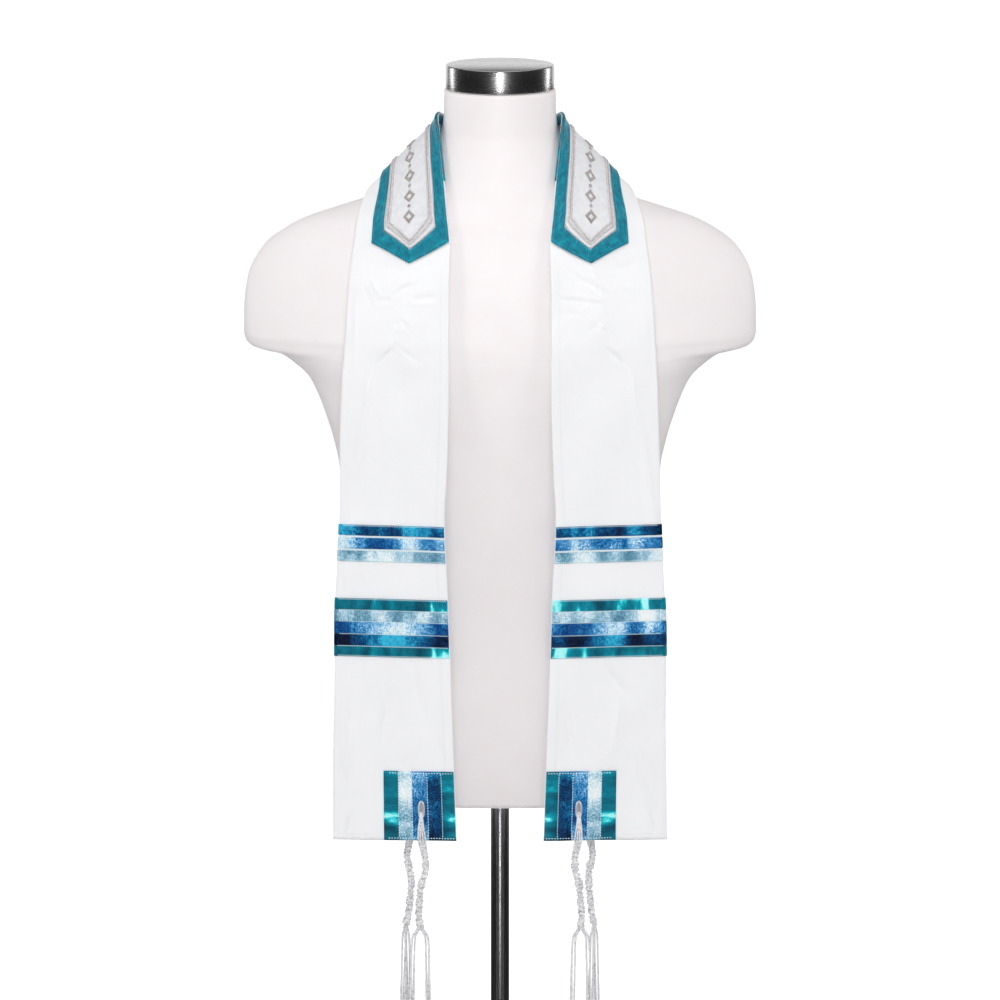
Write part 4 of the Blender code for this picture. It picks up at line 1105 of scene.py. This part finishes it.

# Metallic weave: broad light and dark zones across the ribbon, which are painted reflections, and glitter in
# two sizes, which is painted glints. The glitter's cells also give the bump and glossy sparks.
lame_weave_and_painted_sheen, start, end = node_group("lame_weave_and_painted_sheen", ("Seed", "Glitter", "Zones"), ("Tone", "Height", "Spark"))
place = add_node(lame_weave_and_painted_sheen, "TexCoord")
stretch = add_node(lame_weave_and_painted_sheen, "Mapping", place.outputs["UV"], Scale=(34.0, 12.0, 1.0))
broad = add_node(lame_weave_and_painted_sheen, "TexNoise", stretch.outputs["Vector"], noise_dimensions="4D", Detail=2.0,
                 W=start.outputs["Seed"], Scale=start.outputs["Zones"])
painted_zones = add_node(lame_weave_and_painted_sheen, "MapRange", broad.outputs["Fac"], From_Min=0.33, From_Max=0.64, clamp=False)
coarse, fine = (
    add_node(lame_weave_and_painted_sheen, "SeparateColor",
             add_node(lame_weave_and_painted_sheen, "TexVoronoi", place.outputs["UV"], Scale=scale).outputs["Color"]).outputs
    for scale in (980.0, 2300.0))
mean = add_node(lame_weave_and_painted_sheen, "Math", coarse["Red"], fine["Red"], operation="ADD")
level = add_node(lame_weave_and_painted_sheen, "Math", mean.outputs[0], 1.0, operation="SUBTRACT")
painted_tone = add_node(lame_weave_and_painted_sheen, "Math", level.outputs[0], start.outputs["Glitter"], painted_zones.outputs["Result"],
                operation="MULTIPLY_ADD")
spark = add_node(lame_weave_and_painted_sheen, "MapRange", coarse["Blue"], From_Min=0.80)
feed(end, Tone=painted_tone.outputs[0], Height=fine["Green"], Spark=spark.outputs["Result"])

lames = {}
for number, (colour, sheen_tones) in enumerate(LAME_PAINTED_SHEEN_TONES.items()):
    stops = [(place, srgb(*shade)) for place, shade in sheen_tones]
    lames[colour], tree, shader = new_material(f"{colour}_lame", stops[1][1], 0.34, metallic=0.08)
    shader.inputs["Specular IOR Level"].default_value = 0.20
    weave_and_sheen = add_node(tree, "Group", node_tree=lame_weave_and_painted_sheen, Seed=0.22 * number + 1.3, Glitter=PAINTED_GLINTS[colour],
                     Zones=PAINTED_SHEEN_ZONES[colour])
    add_bump(tree, shader, weave_and_sheen.outputs["Height"], 0.00012, 0.45)
    gloss = add_node(tree, "MapRange", weave_and_sheen.outputs["Spark"], To_Min=0.42, To_Max=0.14)
    # The base colour carries the painted reflections, painted shade and painted glints.
    painted_tone = colour_ramp(tree, weave_and_sheen.outputs["Tone"], stops)
    feed(shader, Base_Color=painted_tone, Roughness=gloss.outputs["Result"])


def ribbon_height(steps):
    """How far the ribbon's face stands off the cloth: rounded down at both edges."""
    return RIBBON_WALL * (0.7 + 0.3 * (1 - np.abs(2 * steps - 1) ** 6))


# The seam thread glows faintly in cyan: painted light that brightens the stitches.
glowing_seam_thread, tree, shader = new_material("glowing_seam_thread", srgb(228, 252, 254), 0.5)
shader.inputs["Emission Color"].default_value = (0.55, 0.95, 1.0, 1.0)
shader.inputs["Emission Strength"].default_value = 0.12
seam_lines = []
for side, sign in SIDES:
    for place, ribbons in (("upper", UPPER_RIBBONS), ("lower", LOWER_RIBBONS)):
        for number, (colour, top, bottom) in enumerate(ribbons, 1):
            steps = np.linspace(0, 1, 9)
            runs = (run_at(top) + (run_at(bottom) - run_at(top)) * steps) * sign
            grid, places = wrapped(runs, (TRIM_GAP + ribbon_height(steps))[:, None], inner=0.004)
            places[..., 1] += number * 0.010
            name, probe = f"{place}_stripe_{number}_{side}", (0.10 * sign, -0.3, (top + bottom) / 2)
            ribbon = sheet_piece(name, grid, places, probe, (0, -1, 0), SHEET_WALL)
            keep_trim(ribbon, f"ribbon_{place}_{number}_{side}", lames[colour])
        seams = [(a[2] + b[1]) / 2 for a, b in zip(ribbons, ribbons[1:])]
        for height in (ribbons[0][1] - SEAM_INSET, *seams, ribbons[-1][2] + SEAM_INSET):
            over = np.linspace(0.008, 0.992, 120)
            seam_lines.append(face_line(front_face, run_at(height) * sign, over, TRIM_GAP + RIBBON_WALL))
stitched("stripe_stitching", seam_lines, glowing_seam_thread, 0.00066, 0.0015, 0.0023, "silver_lame", across=0.0008)

# Each of the four corners has a square patch of five ribbons side by side, with an eyelet for the tassel.
# The eyelet is a slot cut through patch and cloth, with buttonhole stitches all round.
PATCH_TOP_Z = 0.439
# Columns: colour, and distance of both edges from the cloth's inner edge.
PATCH_RIBBONS = (("teal", 0.0000, 0.0128), ("navy", 0.0128, 0.0266), ("blue", 0.0266, 0.0418),
                 ("silver", 0.0418, 0.0550), ("teal", 0.0550, 0.0698))
RIBBON_SEAM = 0.0001
EYELET_FROM_EDGE = 0.033
EYELET_Z = 0.402
EYELET_HALF_WIDTH = 0.0017
EYELET_HALF_HEIGHT = 0.0070
HEM_WIDTH = float(np.linalg.norm(front_face(HALF_LENGTH, 1.0) - front_face(HALF_LENGTH, 0.0)))
LAYERS = (("front", front_face, 0.004), ("back", back_face, BACK_RECESS_HEM))
EYELET_STITCHES = 46
eyelet_run = run_at(EYELET_Z)
patch_lines, eyelet_threads = [], []
for side, sign in SIDES:
    for layer, reader, edge in LAYERS:
        share = edge + EYELET_FROM_EDGE / HEM_WIDTH
        outer, normal = face_line(reader, np.array((eyelet_run * sign,)), share, PATCH_GAP + RIBBON_WALL)
        outer, normal = outer[0], normal[0]
        bpy.ops.object.select_all(action="DESELECT")
        bpy.ops.mesh.primitive_cylinder_add(vertices=28, radius=1.0, depth=0.0075)
        cutter = bpy.context.object
        cutter.scale = (EYELET_HALF_WIDTH, EYELET_HALF_HEIGHT, 1.0)
        bpy.ops.object.transform_apply(location=False, rotation=False, scale=True)
        cutter.rotation_euler = Vector(normal).to_track_quat("Z", "Y").to_euler()
        cutter.location = Vector(outer - normal * 0.0022)
        bpy.context.view_layer.update()
        across, upward = (np.array(cutter.matrix_world.to_3x3().col[k]) for k in (0, 1))
        apply_modifier(shawl, "BOOLEAN", operation="DIFFERENCE", solver="EXACT", object=cutter)
        for number, (colour, start, stop) in enumerate(PATCH_RIBBONS, 1):
            steps = np.linspace(0, 1, 12)
            shares = edge + (start + RIBBON_SEAM / 2 + (stop - start - RIBBON_SEAM) * steps) / HEM_WIDTH
            runs = np.linspace(run_at(PATCH_TOP_Z) - 0.0001, HALF_LENGTH - 0.0005, 46) * sign
            grid = reader(runs[:, None], shares[None, :], PATCH_GAP + ribbon_height(steps)[None, :])
            places = place_grid(np.abs(runs)[:, None] - 0.23 + 0.017 * number, shares * HEM_WIDTH)
            outwards = (0, -1 if layer == "front" else 1, 0)
            name = f"{layer}_corner_{side}_{number}"
            patch = sheet_piece(name, grid, places, grid[23, 6], outwards, SHEET_WALL)
            if start < EYELET_FROM_EDGE < stop:
                apply_modifier(patch, "BOOLEAN", operation="DIFFERENCE", solver="EXACT", object=cutter)
            keep_trim(patch, f"corner_{layer}_{side}_{number}", lames[colour])
            if number > 1:
                seam = edge + start / HEM_WIDTH
                patch_lines.append(face_line(reader, runs[1:-1], seam, PATCH_GAP + RIBBON_WALL * 0.9))
        for angle in np.arange(EYELET_STITCHES) * 2 * math.pi / EYELET_STITCHES:
            wide, high = across * math.cos(angle), upward * math.sin(angle)
            rim = outer + wide * EYELET_HALF_WIDTH + high * EYELET_HALF_HEIGHT
            away = unit(wide / EYELET_HALF_WIDTH + high / EYELET_HALF_HEIGHT)
            eyelet_threads.append((rim - away * 0.0002, rim + away * 0.0019, normal))
        bpy.data.objects.remove(cutter, do_unlink=True)
        over = np.linspace(edge + 0.004, edge + 0.066 / HEM_WIDTH, 60)
        for run in (run_at(PATCH_TOP_Z) + 0.0018, HALF_LENGTH - 0.0026):
            patch_lines.append(face_line(reader, run * sign, over, PATCH_GAP + RIBBON_WALL))
stitched("corner_stitching", patch_lines, glowing_seam_thread, 0.00068, 0.0017, 0.0027, "silver_lame", across=0.0007)
thread_bars("eyelet_stitching", *zip(*eyelet_threads), white_thread, 0.00062, "silver_lame", 0.0005)

# The tassels are the knotted corner fringes. Four wool cords go through the eyelet, which gives eight ends.
# They are twisted and wound into a lumpy rope with five double knots, and then hang free in two bundles.
STEM_TOP_DROP = 0.010
KNOT_DROPS = (-0.004, 0.015, 0.032, 0.051, 0.070)
ROPE_DROPS = (-0.008, 0.006, 0.018, 0.032, 0.046, 0.060, 0.073)
ROPE_SWAYS = {
    "front": (0.0, 0.0026, 0.0030, -0.0012, -0.0032, -0.0030, -0.0026),
    "back": (0.0, -0.0026, 0.0004, 0.0022, 0.0006, -0.0012, -0.0030),
}
ROPE_PLY = 0.00150
ROPE_ORBIT = 0.00120
ROPE_PITCH = 0.0125
WINDING_RADIUS = 0.00088
WINDING_PITCH = 0.0044
STRAND_LENGTH = 0.140
BUNDLES = {"front": (0.0068, 0.0), "back": (0.0020, 0.0026)}
PLY_RADIUS = 0.00076
PLY_ORBIT = 0.00052
PLY_PITCH = 0.0052
PLY_OPENING = 0.0003
ROPE_POINTS = 170
KNOT_RADIUS = 0.0031
MIDDLE_RADIUS = 0.0028
KNOT_CORD = 0.00110
LOOP_CORD = 0.00082
WINDING_REACH = 0.0029
ROPE_JITTER = 0.0007
DEPTH_JITTER = 0.0006
# Columns: shift of a knot's turn along the rope, its tilt, and the direction it tilts in.
KNOT_TURNS = ((-0.0016, 0.34, 0.4), (0.0018, -0.36, 1.6), (0.0, 0.72, 2.6))
# Columns: place of a loop's cord across the eyelet, and how far it lies over the others.
LOOP_CORDS = ((-0.0034, 0.0004), (-0.0012, 0.0011), (0.0011, 0.0008), (0.0033, 0.0004))
DOWN = np.array((0.0, 0.0, -1.0))
SIDEWAYS = np.array((1.0, 0.0, 0.0))
wool_cord, tree, shader = new_material("wool_cord", srgb(236, 236, 238), 0.85, sheen=0.2)
place = add_node(tree, "TexCoord")
fuzz = add_node(tree, "TexNoise", place.outputs["Object"], Scale=760.0, Detail=4.0)
add_bump(tree, shader, fuzz.outputs["Fac"], 0.00030, 0.8)
# The fuzz's low spots, which the bump sinks, are painted dark grey: painted shade between the fibres.
WOOL_PAINTED_SHADE_TONES = ((0.36, srgb(166, 166, 172)), (0.46, srgb(228, 228, 231)), (0.62, srgb(246, 246, 247)))
feed(shader, Base_Color=colour_ramp(tree, fuzz.outputs["Fac"], WOOL_PAINTED_SHADE_TONES))


def curve_through(knots, count):
    """Points read evenly from a smooth curve through a few chosen points."""
    knots = np.array([2 * knots[0] - knots[1], *knots, 2 * knots[-1] - knots[-2]])
    spans = len(knots) - 3
    t = np.linspace(0, spans, count)
    k = np.minimum(t.astype(int), spans - 1)
    return spline(knots[k], knots[k + 1], knots[k + 2], knots[k + 3], (t - k)[:, None])


def twisted(path, reference, phase):
    """Two plies twisted round each other along a path, opening a little at the free end."""
    run = run_along(path)
    side, up = path_sides(path, reference)
    apart = (PLY_ORBIT + PLY_OPENING * ease(run[-1] - 0.012, run[-1], run))[:, None]
    made = []
    for turn in (0.0, math.pi):
        angle = (2 * math.pi * run / PLY_PITCH + phase + turn)[:, None]
        ply = path + apart * (side * np.cos(angle) + up * np.sin(angle))
        made.append(sweep(ply, PLY_RADIUS, 6, reference))
    return made


def circle(angle, rise=0.0):
    """Points round a ring of radius 1, one for each angle."""
    return np.stack((np.cos(angle), np.sin(angle), rise + 0 * angle), axis=1)


for side, sign in SIDES:
    for layer, reader, edge in LAYERS:
        rng = np.random.default_rng(40 + 2 * sign + (layer == "back"))
        share = edge + EYELET_FROM_EDGE / HEM_WIDTH
        top = reader(HALF_LENGTH * sign, share, -WALL / 2) + DOWN * STEM_TOP_DROP
        sways = np.array(ROPE_SWAYS[layer]) * -sign + rng.uniform(-ROPE_JITTER, ROPE_JITTER, 7)
        knots = np.stack((top[0] + sways, top[1] + rng.uniform(-DEPTH_JITTER, DEPTH_JITTER, 7),
                          top[2] - np.array(ROPE_DROPS)), axis=1)
        rope = curve_through(knots, ROPE_POINTS)
        run = np.linspace(0, 1, ROPE_POINTS) * (ROPE_DROPS[-1] - ROPE_DROPS[0])
        grids = []
        for turn in range(3):
            angle = 2 * math.pi * (run / ROPE_PITCH + turn / 3)
            lump = 1 + 0.24 * np.sin(620 * run + 2.1 * turn) + 0.16 * np.sin(1400 * run + turn)
            around = circle(angle) * (ROPE_ORBIT * lump)[:, None]
            grids.append(sweep(rope + around, ROPE_PLY * lump, 8, SIDEWAYS))
        for start, direction in ((0.0, 1), (1.4, -1)):
            angle = direction * 2 * math.pi * run / WINDING_PITCH + start + 0.5 * np.sin(210 * run)
            reach = WINDING_REACH + 0.0005 * np.sin(angle * 0.41)
            winding = rope + circle(angle) * reach[:, None]
            winding = read_line(winding, np.arange(ROPE_POINTS), np.linspace(0, ROPE_POINTS - 1, 420))
            grids.append(sweep(winding, WINDING_RADIUS, 6, DOWN))
        for drop in KNOT_DROPS:
            size = rng.uniform(0.88, 1.08)
            for shift, tilt, heading in KNOT_TURNS:
                at = read_line(knots, ROPE_DROPS, np.array((drop + shift,)))
                radius = (KNOT_RADIUS if shift else MIDDLE_RADIUS) * size
                around = np.linspace(0, 2 * math.pi, 25)
                rise = tilt * np.sin(around + heading + rng.uniform(-0.9, 0.9))
                grids.append(sweep(at + circle(around, rise) * radius, KNOT_CORD * size, 7, DOWN))
        out = 0.0006 + TRIM_WALL + PATCH_GAP
        behind = -WALL - 0.0013
        eyelet, hem = eyelet_run * sign, HALF_LENGTH * sign
        hole = reader(eyelet, share, 0.0) + DOWN * (EYELET_HALF_HEIGHT - 0.0030)
        through = reader(eyelet, share, 1.0) - reader(eyelet, share, 0.0)
        for u, near in LOOP_CORDS:
            lane = SIDEWAYS * u
            head = rope[8] + lane * 0.4
            above, below = reader(eyelet, share, out + near), reader(eyelet, share, behind - near)
            loop = curve_through((
                head + through * (0.0010 + near),
                reader(hem, share, out + near) + lane,
                above + DOWN * 0.018 + lane * 0.72,
                above + DOWN * 0.008 + lane * 0.34,
                hole + through * (out * 0.9 + near) + lane * 0.28,
                hole - through * 0.0008 - DOWN * near + lane * 0.25,
                hole + through * (behind * 0.9 - near) + lane * 0.28,
                below + DOWN * 0.010 + lane * 0.5,
                reader(hem, share, behind - near) + DOWN * 0.0012 + lane * 0.6,
                head - through * (0.0010 + near),
            ), 90)
            grids.append(sweep(loop, LOOP_CORD, 7, SIDEWAYS))
        root = rope[-1]
        spread, depth = BUNDLES[layer]
        for k in range(8):
            bundle = 1.0 if k < 4 else -1.0
            within = np.array((1.5 if k % 2 else -1.5, 1.15 if k % 4 > 1 else -1.15, 0.0)) * 0.001
            outward = np.array((bundle * spread, bundle * depth, 0.0))
            length = STRAND_LENGTH * (1 - 0.05 * ((3 * k + (layer == "back")) % 4) / 4)
            lean = np.array((1.6 * math.sin(1.7 * k + sign) + 2 * bundle, math.sin(2.3 * k), 0.0)) * 0.001
            hung = root + outward + within
            path = curve_through((
                root + within * 0.5 - DOWN * 0.003,
                root + outward * 0.34 + within * 0.7 + DOWN * 0.0035,
                root + outward * 0.86 + within * 0.9 + DOWN * 0.010,
                hung + DOWN * 0.022,
                hung + lean * 0.4 + DOWN * 0.060,
                hung + lean * 0.9 + DOWN * 0.105,
                hung + within * 0.3 + lean * 1.4 + DOWN * length,
            ), 150)
            grids.extend(twisted(path, SIDEWAYS, rng.uniform(0, 6.0)))
        tassel = joined_tubes(f"corner_tassel_{layer}_{side}", grids)
        keep_trim(tassel, f"tassel_{layer}_{side}", wool_cord)
